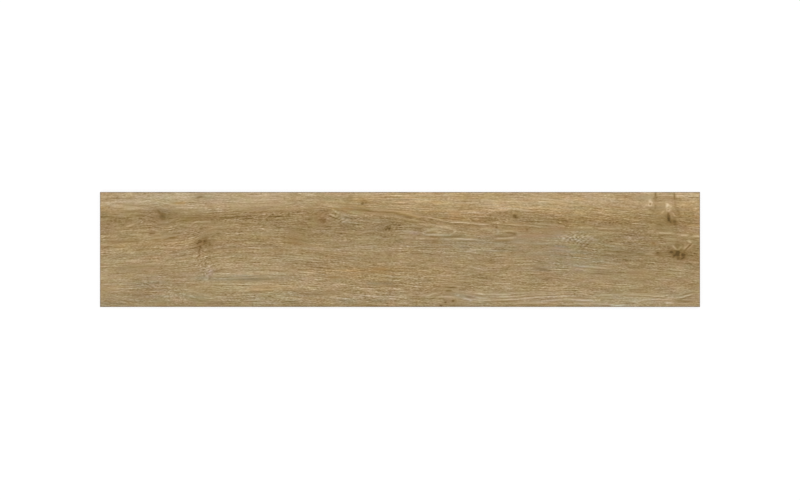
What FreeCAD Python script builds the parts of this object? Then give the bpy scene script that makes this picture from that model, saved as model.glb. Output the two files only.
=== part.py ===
"""Wood-look porcelain plank tile: one pressed and fired piece, rectified on all four sides.

The tile lies face up. X runs along the plank, Y across it and Z up through its thickness, with the
origin under the middle of the tile, on the plane of the back that lies in the adhesive.
All sizes are in millimetres and degrees.
"""

import FreeCAD, Part
import Sketcher
import os

# Driving dimensions: name in the sheet, value, what it is on the tile.
DIMENSIONS = (
    ("tile_length", 1200, "length of the plank between its ground ends"),
    ("tile_width", 230, "width of the plank between its ground sides"),
    ("tile_thickness", 10, "from the back's ribs to the face"),
    ("face_bevel", 0.8, "micro-bevel ground round the edge of the face, on each leg"),
    ("back_arris", 1.0, "arris taken off round the edge of the back, on each leg"),
    ("cell_length", 33, "mouth of one recessed cell of the back, along the plank"),
    ("cell_width", 32, "mouth of one recessed cell of the back, across the plank"),
    ("rib_width", 4, "flat top of the raised rib between two cells"),
    ("recess_depth", 0.6, "depth of the cells, which is the height of the ribs"),
    ("cell_draft", 45, "lean of a cell's walls from upright, so the press plate lifts out"),
)
SHEET = "Dimensions"
NODE = "plank_tile"
STEP_FOLDER = "parts"
LEVEL_TOLERANCE = 1e-6  # how far an edge's ends may lie from a height and still count as on it


def size(name):
    """A driving dimension as it is written in an expression."""
    return f"{SHEET}.{name}"


def write_sheet(doc):
    """The sheet of driving dimensions: in each row a name, a plain number with its alias, and a note."""
    sheet = doc.addObject("Spreadsheet::Sheet", SHEET)
    for row, (name, value, note) in enumerate(DIMENSIONS, start=1):
        sheet.set(f"A{row}", name)
        sheet.set(f"B{row}", str(value))
        sheet.setAlias(f"B{row}", name)
        sheet.set(f"C{row}", note)
    doc.recompute()
    return sheet


def origin_feature(body, role):
    """One of the body's own origin planes or axes, such as XY_Plane."""
    return next(feature for feature in body.Origin.OriginFeatures if feature.Role == role)


def back_sketch(body, name):
    """An empty sketch on the plane of the tile's back."""
    sketch = body.newObject("Sketcher::SketchObject", name)
    sketch.AttachmentSupport = (origin_feature(body, "XY_Plane"), "")
    sketch.MapMode = "FlatFace"
    return sketch


def draw_rectangle(sketch, low, high):
    """Four joined lines, two level and two upright, from the low corner to the high one."""
    corners = [
        FreeCAD.Vector(low[0], low[1]),
        FreeCAD.Vector(high[0], low[1]),
        FreeCAD.Vector(high[0], high[1]),
        FreeCAD.Vector(low[0], high[1]),
    ]
    for number, corner in enumerate(corners):
        sketch.addGeometry(Part.LineSegment(corner, corners[(number + 1) % 4]))
    for number in range(4):
        sketch.addConstraint(Sketcher.Constraint("Coincident", number, 2, (number + 1) % 4, 1))
        direction = "Horizontal" if number % 2 == 0 else "Vertical"
        sketch.addConstraint(Sketcher.Constraint(direction, number))


def drive(sketch, name, constraint, expression):
    """Adds a named dimension to a sketch and ties it to the sheet."""
    number = sketch.addConstraint(constraint)
    sketch.renameConstraint(number, name)
    sketch.setExpression(f"Constraints.{name}", expression)


def outline_sketch(body, sheet):
    """The ground outline of the tile, centred on the origin."""
    half_length, half_width = sheet.tile_length / 2, sheet.tile_width / 2
    sketch = back_sketch(body, "TileOutline")
    draw_rectangle(sketch, (-half_length, -half_width), (half_length, half_width))
    sketch.addConstraint(Sketcher.Constraint("Symmetric", 0, 1, 1, 2, -1, 1))
    length = Sketcher.Constraint("DistanceX", 0, 1, 0, 2, sheet.tile_length)
    drive(sketch, "length", length, size("tile_length"))
    width = Sketcher.Constraint("DistanceY", 1, 1, 1, 2, sheet.tile_width)
    drive(sketch, "width", width, size("tile_width"))
    return sketch


def cell_sketch(body, sheet):
    """The mouth of the cell next to the crossing of the two middle ribs, half a rib out from each."""
    half_rib = sheet.rib_width / 2
    sketch = back_sketch(body, "CellMouth")
    far_corner = (half_rib + sheet.cell_length, half_rib + sheet.cell_width)
    draw_rectangle(sketch, (half_rib, half_rib), far_corner)
    along = Sketcher.Constraint("DistanceX", -1, 1, 0, 1, half_rib)
    drive(sketch, "rib_beside", along, size("rib_width") + " / 2")
    across = Sketcher.Constraint("DistanceY", -1, 1, 0, 1, half_rib)
    drive(sketch, "rib_below", across, size("rib_width") + " / 2")
    length = Sketcher.Constraint("DistanceX", 0, 1, 0, 2, sheet.cell_length)
    drive(sketch, "length", length, size("cell_length"))
    width = Sketcher.Constraint("DistanceY", 1, 1, 1, 2, sheet.cell_width)
    drive(sketch, "width", width, size("cell_width"))
    return sketch


def slab(body, sheet):
    """The pressed slab, from the plane of the back up to the face."""
    pad = body.newObject("PartDesign::Pad", "Slab")
    pad.Profile = outline_sketch(body, sheet)
    pad.setExpression("Length", size("tile_thickness"))
    body.Document.recompute()
    return pad


def bevelled_edges(body, base, name, height, leg):
    """The base with the edges that lie flat at this height chamfered by the same leg on both sides."""
    level = [
        f"Edge{number}"
        for number, edge in enumerate(base.Shape.Edges, start=1)
        if all(abs(vertex.Z - height) < LEVEL_TOLERANCE for vertex in edge.Vertexes)
    ]
    chamfer = body.newObject("PartDesign::Chamfer", name)
    chamfer.Base = (base, level)
    chamfer.setExpression("Size", size(leg))
    body.Document.recompute()
    return chamfer


def back_cell(body, sheet):
    """One shallow cell pressed into the back, its walls leaning in to a smaller floor."""
    pocket = body.newObject("PartDesign::Pocket", "BackCell")
    pocket.Profile = cell_sketch(body, sheet)
    pocket.Reversed = True
    pocket.setExpression("Length", size("recess_depth"))
    pocket.setExpression("TaperAngle", "-" + size("cell_draft"))
    body.Document.recompute()
    return pocket


def cell_row(body, name, axis, tile_size, cell_size):
    """Cells from the middle of the tile out, as many as leave a rim at least one rib wide."""
    pitch = f"({size(cell_size)} + {size('rib_width')})"
    half_tile = f"({size(tile_size)} - {size('rib_width')}) / 2"
    row = body.Document.addObject("PartDesign::LinearPattern", name)
    body.addObject(row)
    row.Direction = (origin_feature(body, axis), "")
    row.Mode = "Spacing"
    row.setExpression("Offset", pitch)
    row.setExpression("Occurrences", f"floor({half_tile} / {pitch})")
    return row


def mirror(body, name, plane):
    """The cells on the other side of one of the tile's middle planes."""
    mirrored = body.Document.addObject("PartDesign::Mirrored", name)
    body.addObject(mirrored)
    mirrored.MirrorPlane = (origin_feature(body, plane), "")
    return mirrored


def keyed_back(body, cell):
    """The lattice of ribs: one cell repeated over a quarter of the back, which is then mirrored twice."""
    lattice = body.newObject("PartDesign::MultiTransform", "KeyedBack")
    lattice.Originals = [cell]
    lattice.Refine = False
    lattice.Transformations = [
        cell_row(body, "CellsAlong", "X_Axis", "tile_length", "cell_length"),
        cell_row(body, "CellsAcross", "Y_Axis", "tile_width", "cell_width"),
        mirror(body, "OtherEnd", "YZ_Plane"),
        mirror(body, "OtherSide", "XZ_Plane"),
    ]
    body.Tip = lattice
    body.Document.recompute()
    return lattice


def check_built(doc, body):
    """Stops the build if an object of the document failed or the tile isn't one valid solid."""
    for item in doc.Objects:
        if {"Invalid", "Error"} & set(item.State):
            raise RuntimeError(f"{item.Name} failed: {item.State}")
    if body.Shape.isNull() or not body.Shape.isValid() or len(body.Shape.Solids) != 1:
        raise RuntimeError(f"{body.Label} isn't one valid solid")


def main():
    doc = FreeCAD.newDocument("PlankTile")
    sheet = write_sheet(doc)
    tile = doc.addObject("PartDesign::Body", "PlankTile")
    tile.Label = NODE
    blank = slab(tile, sheet)
    faced = bevelled_edges(tile, blank, "FaceBevel", sheet.tile_thickness, "face_bevel")
    trimmed = bevelled_edges(tile, faced, "BackArris", 0, "back_arris")
    cell = back_cell(tile, sheet)
    if cell.Shape.Volume >= trimmed.Shape.Volume:
        raise RuntimeError("the back cell cuts nothing")
    lattice = keyed_back(tile, cell)
    check_built(doc, tile)
    cell_volume = trimmed.Shape.Volume - cell.Shape.Volume
    cells = round((trimmed.Shape.Volume - lattice.Shape.Volume) / cell_volume)
    print(f"{NODE}: {tile.Shape.Volume / 1e6:.4f} litres, {cells} cells, {len(tile.Shape.Faces)} faces")
    os.makedirs(STEP_FOLDER, exist_ok=True)
    tile.Shape.exportStep(os.path.join(STEP_FOLDER, f"{NODE}.step"))


main()
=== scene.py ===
# %% [markdown]
# # A wood-look porcelain plank tile
#
# The tile is one pressed and fired piece, 1200 by 230 by 10 mm. Its face carries a printed oak board under
# a matt glaze, with the grain pressed lightly into it. Its sides are ground straight after firing, and its
# back has ribs that key into the adhesive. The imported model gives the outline, so the first cell loads it
# and keeps its sizes.

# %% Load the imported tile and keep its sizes
from typing import NamedTuple

import bpy
import numpy as np
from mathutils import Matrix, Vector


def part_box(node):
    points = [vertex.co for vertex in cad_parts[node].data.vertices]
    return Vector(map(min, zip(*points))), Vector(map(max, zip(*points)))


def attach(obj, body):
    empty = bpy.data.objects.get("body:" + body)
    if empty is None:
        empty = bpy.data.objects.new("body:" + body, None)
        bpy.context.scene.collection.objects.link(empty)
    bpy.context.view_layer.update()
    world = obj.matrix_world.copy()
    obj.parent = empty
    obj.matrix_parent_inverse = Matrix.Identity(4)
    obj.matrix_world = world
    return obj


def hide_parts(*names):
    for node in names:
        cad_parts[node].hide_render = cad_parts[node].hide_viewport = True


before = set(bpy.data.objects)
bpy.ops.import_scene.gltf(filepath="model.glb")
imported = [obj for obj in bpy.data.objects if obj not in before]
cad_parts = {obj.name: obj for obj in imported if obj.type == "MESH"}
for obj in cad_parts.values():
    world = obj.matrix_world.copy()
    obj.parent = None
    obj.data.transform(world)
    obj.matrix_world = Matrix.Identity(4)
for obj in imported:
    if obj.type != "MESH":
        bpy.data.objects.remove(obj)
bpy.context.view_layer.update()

MM = 0.001  # metres in a millimetre
NODE = "plank_tile"
TILE_LOW, TILE_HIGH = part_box(NODE)
LENGTH, WIDTH, THICKNESS = TILE_HIGH - TILE_LOW
print(f"tile {LENGTH / MM:.0f} x {WIDTH / MM:.0f} x {THICKNESS / MM:.0f} mm")

# %% [markdown]
# ## Places on the face
#
# The photo looks straight down on the tile, so a pixel of it is a place on the face. The tile is 600 pixels
# long there. One function turns a pixel into metres on the tile, and every knot and streak below is written
# as a pixel.

# %% From a pixel of the photo to a place on the face
PHOTO_TILE_LENGTH = 600  # pixels from the tile's left end to its right end
PHOTO_MIDDLE = (400.0, 249.5)  # pixel at the middle of the tile
PIXEL = LENGTH / PHOTO_TILE_LENGTH  # metres of tile in a pixel


def from_photo(column, row):
    """A place in metres: pixels from the tile's middle, times the size of a pixel. Rows count downwards."""
    x = (np.asarray(column, float) - PHOTO_MIDDLE[0]) * PIXEL
    y = (PHOTO_MIDDLE[1] - np.asarray(row, float)) * PIXEL
    return x, y


print(f"one pixel is {PIXEL / MM:.2f} mm of tile")

# %% [markdown]
# ## Noise and smooth curves
#
# Wood is never quite regular, so most shapes here are a plain formula plus a little noise. Blender's
# texture nodes have noise too, but the mesh needs the same noise in its heights, so a small numpy version
# is written first. The noise is seeded, and gives the same tile every time.

# %% Lattice noise, a bell and curves through points
LATTICE_SIZE = 512  # random values along each side of the lattice, which repeats after that
SAMPLES = 200  # places along the tile where something is measured


def ease(t):
    """3t² - 2t³: from 0 to 1 with level ends."""
    return t * t * (3 - 2 * t)


def bell(distance):
    """exp(-d²/2): 1 at no distance, 0.6 at 1, next to nothing at 3."""
    return np.exp(-0.5 * distance**2)


def lattice_noise(x, y, along, across, seed):
    """Noise from -1 to 1: random values on a lattice of along by across metres, eased between corners."""
    values = np.random.default_rng(seed).uniform(-1, 1, (LATTICE_SIZE, LATTICE_SIZE))
    u, v = x / along, y / across
    column, row = np.floor(u).astype(int), np.floor(v).astype(int)
    s, t = ease(u - column), ease(v - row)
    left, right = column % LATTICE_SIZE, (column + 1) % LATTICE_SIZE
    low, high = row % LATTICE_SIZE, (row + 1) % LATTICE_SIZE
    bottom = values[left, low] * (1 - s) + values[right, low] * s
    top = values[left, high] * (1 - s) + values[right, high] * s
    return bottom * (1 - t) + top * t


def noise_sum(x, y, kinds):
    """Noises added up. Each kind has the length and width of its lattice, its strength and its seed."""
    return sum(strength * lattice_noise(x, y, along, across, seed) for along, across, strength, seed in kinds)


def smooth_curve(points, steps=12):
    """Cubic arcs through the points. A point's slope is half the step from its last neighbour to its next."""
    p = np.asarray(points, float)
    before, after = 2 * p[0] - p[1], 2 * p[-1] - p[-2]
    p = np.vstack([before, p, after])
    t = np.linspace(0, 1, steps, endpoint=False)[None, :, None]
    a, b, c, d = (p[k:len(p) - 3 + k, None, :] for k in range(4))
    arcs = 0.5 * (2 * b + (c - a) * t + (2 * a - 5 * b + 4 * c - d) * t**2 + (3 * b - a - 3 * c + d) * t**3)
    return np.vstack([arcs.reshape(-1, p.shape[1]), p[-2]])


along_tile = np.linspace(-LENGTH / 2, LENGTH / 2, SAMPLES)
sample = lattice_noise(along_tile, np.zeros(SAMPLES), MM, MM, seed=1)
print(f"noise runs from {sample.min():.2f} to {sample.max():.2f}")

# %% [markdown]
# ## How the fibres run
#
# On an oak board the fibres run along the plank, rise and sink in long waves, and part round each knot as
# water parts round a stone. If every point knows its height across the fibres, lines of equal height are
# the grain. A few guide lines, drawn through lines that show in the photo, give that height, and the knots
# then bend it.

# %% Knots and eyes that the fibres part round
class Knot(NamedTuple):
    """A knot or an eye in the grain: place, half sizes and turn in the photo, tone, and how fibres part."""

    name: str
    column: float
    row: float
    half_length: float
    half_width: float
    turn: float = 0.0  # degrees, anticlockwise
    tone: float = 0.0  # levels of 255 at the heart, below zero for dark
    parting: float = 0.0  # 0 leaves the fibres straight, 1 sends them right round
    reach: float = 2.0  # how many half sizes away the fibres still bend


KNOTS = (
    Knot("smeared knot under the pale band", 160.5, 213.5, 6.5, 3.2, -55, -8, 0.35, 1.8),
    Knot("heart of the smeared knot", 162.8, 217.0, 4.0, 2.4, -30, -15),
    Knot("left speck of the smeared knot", 156.0, 219.2, 1.3, 1.0, 0, -16),
    Knot("far speck of the smeared knot", 150.7, 212.6, 1.2, 1.0, 0, -14),
    Knot("leaning knot left of the middle", 199.6, 242.0, 4.4, 1.5, 24, -40, 0.3, 2.4),
    Knot("upper end of the leaning knot", 204.8, 240.8, 2.2, 1.3, 40, -26),
    Knot("shade of the leaning knot", 204.0, 241.0, 7.0, 4.6, 30, -7),
    Knot("faint right end of the leaning knot", 210.3, 242.5, 1.4, 3.0, 0, -8),
    Knot("crack below the leaning knot", 200.2, 247.2, 1.2, 1.2, 0, -34),
    Knot("end of that crack", 199.2, 250.0, 1.0, 1.8, -20, -22),
    Knot("upper dot right of the crack", 209.7, 245.3, 1.0, 1.2, 0, -18),
    Knot("lower dot right of the crack", 209.4, 252.4, 1.0, 1.0, 0, -24),
    Knot("white spot below the leaning knot", 209.4, 267.1, 1.4, 1.0, 0, 34),
    Knot("brown knot", 323.4, 220.6, 4.2, 3.3, -15, -17, 0.25, 1.6),
    Knot("small knot beside the brown one", 309.2, 219.0, 2.0, 1.0, 10, -28, 0.2, 2.0),
    Knot("ring knot near the top edge", 362.4, 203.2, 1.5, 1.7, 0, -36, 0.4, 2.4),
    Knot("right side of the ring knot", 365.8, 202.4, 0.9, 1.5, 0, -24),
    Knot("upper side of the ring knot", 364.2, 200.6, 1.5, 0.7, 0, -24),
    Knot("brown smear on the top edge", 350.0, 198.0, 2.8, 3.6, -30, -13),
    Knot("speckled dark blot", 388.2, 228.2, 4.0, 1.9, 0, -34, 0.2, 2.2),
    Knot("small dark knot", 514.8, 216.0, 1.9, 1.7, -20, -42, 0.4, 2.4),
    Knot("foot of the small dark knot", 516.9, 217.8, 1.4, 1.2, -20, -26),
    Knot("dark corner over the eye", 496.6, 227.2, 1.2, 1.0, 0, -36),
    Knot("right end of the eye", 514.9, 234.1, 1.3, 0.9, 0, -20),
    Knot("dot right of the eye", 527.1, 229.6, 1.0, 1.1, 0, -30),
    Knot("cream ring of the right end", 650.3, 203.2, 2.2, 3.4, 0, 38),
    Knot("pinhole in the cream ring", 650.4, 203.9, 0.9, 1.0, 0, -70),
    Knot("speck under the cream ring", 650.0, 209.5, 1.4, 1.0, 0, -18),
    Knot("cream blob of the right end", 667.3, 205.4, 2.0, 2.4, 0, 46),
    Knot("right side of the cream blob", 670.6, 206.4, 1.3, 1.3, 0, 22),
    Knot("lower ring of the cream blob", 668.7, 210.0, 2.4, 1.9, 0, 40),
    Knot("pinhole in the lower ring", 668.4, 209.6, 1.0, 0.9, 0, -38),
    Knot("pale spot by the right crack", 677.5, 196.6, 1.6, 1.3, 0, 18),
    Knot("heart of the loop", 682.1, 207.0, 0.9, 0.9, 0, -22),
    Knot("dark tail by the right end", 668.4, 215.6, 1.3, 4.0, 6, -34, 0.3, 2.4),
    Knot("foot of the dark tail", 669.0, 219.4, 1.6, 1.7, -30, -44),
    Knot("second spot of the dark tail", 670.7, 222.2, 1.4, 1.1, -30, -28),
    Knot("third spot of the dark tail", 674.6, 221.4, 2.1, 1.6, -20, -36),
    Knot("end of the dark tail", 675.8, 224.8, 2.2, 1.3, -20, -24),
    Knot("dark triangle over the big knot", 677.3, 245.4, 3.4, 3.2, 0, -12),
    Knot("left lobe of the big knot", 670.9, 252.0, 1.9, 1.1, 10, -40),
    Knot("heart of the big knot", 677.4, 253.4, 2.4, 2.4, 0, -50, 0.3, 2.6),
    Knot("lower left of the heart", 674.4, 255.8, 1.9, 1.6, 40, -32),
    Knot("right lobe of the big knot", 683.2, 254.6, 2.4, 1.9, -10, -24),
    Knot("red foot of the right lobe", 683.4, 257.8, 1.8, 1.2, 20, -28),
    Knot("second foot of the right lobe", 681.8, 259.0, 1.3, 0.9, 0, -30),
    Knot("foot of the heart", 678.6, 258.6, 1.5, 1.3, 0, -22),
    Knot("shade of the big knot", 678.6, 254.8, 9.0, 4.4, -12, -7),
    Knot("speck left of the big knot", 657.8, 252.7, 1.7, 0.9, 0, -34),
    Knot("left dot of the curl", 441.2, 305.8, 1.3, 1.0, 0, -50),
    Knot("middle dot of the curl", 445.4, 302.3, 1.2, 1.0, 0, -50),
    Knot("right dot of the curl", 453.1, 300.9, 1.3, 1.0, 0, -52),
    Knot("eye left of the small dark knot", 507.5, 233.4, 9.0, 2.2, 0, 0, 0.7, 1.2),
    Knot("arch in the middle", 428.0, 231.0, 24.0, 4.2, -4, 0, 0.6, 1.0),
    Knot("curl on the lower edge", 447.0, 299.5, 6.0, 3.4, 0, 0, 0.6, 1.4),
    Knot("curl in the middle", 399.0, 250.0, 5.0, 3.0, -30, 0, 0.5, 1.4),
    Knot("pale blob right of the limed patch", 629.6, 238.4, 1.9, 1.2, 0, 26),
    Knot("left spot of the crack's fork", 653.5, 198.3, 1.0, 0.9, 0, -30),
    Knot("right spot of the crack's fork", 656.8, 197.5, 1.0, 0.9, 0, -30),
    Knot("dot under the left crack", 655.4, 205.7, 0.9, 0.9, 0, -30),
    Knot("lower dot under the left crack", 655.2, 208.1, 0.9, 0.8, 0, -26),
    Knot("spot right of the right crack", 676.6, 198.8, 1.2, 0.7, 0, -26),
    Knot("pale spot of the curl", 458.2, 295.4, 1.6, 0.9, 0, 22),
)
print(f"{len(KNOTS)} knots and eyes")

# %% The height across the fibres
GUIDE_LINES = {
    "along the top edge": (
        (100, 190), (200, 190), (290, 189.5), (340, 192), (400, 191), (480, 190.5), (540, 193),
        (600, 197), (650, 200), (700, 202),
    ),
    "under the pale band": (
        (100, 211), (145, 211), (167, 212), (217, 212), (260, 210), (300, 207.5), (318, 206.5),
        (345, 209), (380, 211), (420, 213.5), (470, 214), (500, 215), (560, 217.5), (600, 220.5),
        (650, 224), (700, 228),
    ),
    "down from the sapwood": (
        (100, 224), (142, 222), (192, 219.5), (242, 215.5), (292, 212), (325, 210.5), (362, 212),
        (404, 216), (437, 222), (464, 225.5), (517, 228), (567, 229), (617, 230), (658, 233), (700, 237),
    ),
    "through the leaning knot": (
        (100, 252), (142, 249.5), (175, 247.5), (192, 244.5), (208, 239), (225, 237), (267, 236.5),
        (292, 238.5), (320, 241), (367, 241.5), (410, 240), (467, 240.5), (492, 242), (542, 240.5),
        (592, 242.5), (642, 246), (700, 247),
    ),
    "lower middle": (
        (100, 273), (142, 270), (192, 267), (208, 263.5), (222, 261), (255, 260), (300, 261), (350, 263),
        (400, 265), (450, 266.5), (492, 269.5), (550, 271), (600, 273), (650, 275), (700, 278.5),
    ),
    "above the lower edge": (
        (100, 287), (150, 284.5), (217, 284), (267, 283), (300, 283.5), (350, 286.5), (417, 290),
        (445, 290.5), (492, 294), (530, 295), (567, 294.5), (620, 296), (700, 296),
    ),
    "off the lower edge": (
        (100, 299), (150, 303.5), (217, 308), (250, 307), (292, 305.5), (342, 308), (420, 311),
        (445, 311.5), (492, 316.5), (550, 317.5), (620, 317.5), (700, 318),
    ),
}
WAVES = (  # length, width, height and seed of the fibres' slow wander, and of a ripple that neighbours share
    (150 * MM, 40 * MM, 2.0 * MM, 150),
    (26 * MM, 12 * MM, 0.8 * MM, 26),
)


def guide_heights(x):
    """Heights of the guide lines at x, from the lowest up: smooth curves, read off between their points."""
    curves = [from_photo(*smooth_curve(points).T) for points in reversed(GUIDE_LINES.values())]
    return [np.interp(x, curve_x, curve_y) for curve_x, curve_y in curves]


def knot_coordinates(knot, x, y):
    """Offsets along and across a knot, in half sizes: those in x and y from its middle, turned back."""
    middle_x, middle_y = from_photo(knot.column, knot.row)
    c, s = np.cos(np.radians(knot.turn)), np.sin(np.radians(knot.turn))
    along = (x - middle_x) * c + (y - middle_y) * s
    across = (y - middle_y) * c - (x - middle_x) * s
    return along / (knot.half_length * PIXEL), across / (knot.half_width * PIXEL)


# Mean height of each gap between neighbouring guide lines, from the lowest up.
MEAN_GAPS = np.diff(guide_heights(along_tile), axis=0).mean(axis=1)


def fibre_height(x, y):
    """Height across the fibres: the share of each gap between guide lines below y, less a pull to each knot.

    A gap adds its mean height times how far y is through it, from 0 to 1. Below the lowest line and above the
    highest one the height goes on with y. Near a knot it shrinks towards the knot's own height by a bell
    curve, so lines of equal height part round the knot.
    """
    lines = guide_heights(x)
    height = np.minimum(y - lines[0], 0) + np.maximum(y - lines[-1], 0) - WIDTH / 2
    for low, high, gap in zip(lines, lines[1:], MEAN_GAPS):
        height = height + gap * np.clip((y - low) / (high - low), 0, 1)
    height = height + noise_sum(x, y, WAVES)
    for knot in KNOTS:
        pull = knot.parting * bell(np.hypot(*knot_coordinates(knot, x, y)) / knot.reach)
        height = height - pull * (y - from_photo(knot.column, knot.row)[1])
    return height


across_middle = fibre_height(np.zeros(3), np.array([-1, 0, 1]) * WIDTH / 2)
print("height across the fibres at the middle, mm", (across_middle / MM).round(1))

# %% [markdown]
# ## The board's tones
#
# Before the fine grain there is the broad light and shade of the board: pale sapwood along the top, a dark
# band under it, greyed patches, warm streaks. An image would be the quick way, but a library needs a finish
# that can be changed, so each patch is a soft stroke with a place, a size, a tone and a warmth. Streaks
# that follow the fibres fray its edges.

# %% Strokes of tone and warmth
class Stroke(NamedTuple):
    """A soft patch of the print, in photo pixels: middle and half sizes, then what it does to the print."""

    name: str
    column: float
    row: float
    half_length: float
    half_width: float
    tone: float = 0.0  # levels of 255, above zero for lighter
    warmth: float = 0.0  # levels of red over blue, below zero for greyer
    calm: float = 0.0  # share of the fine grain that goes
    blush: float = 0.0  # levels towards pink, below zero for green


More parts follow.
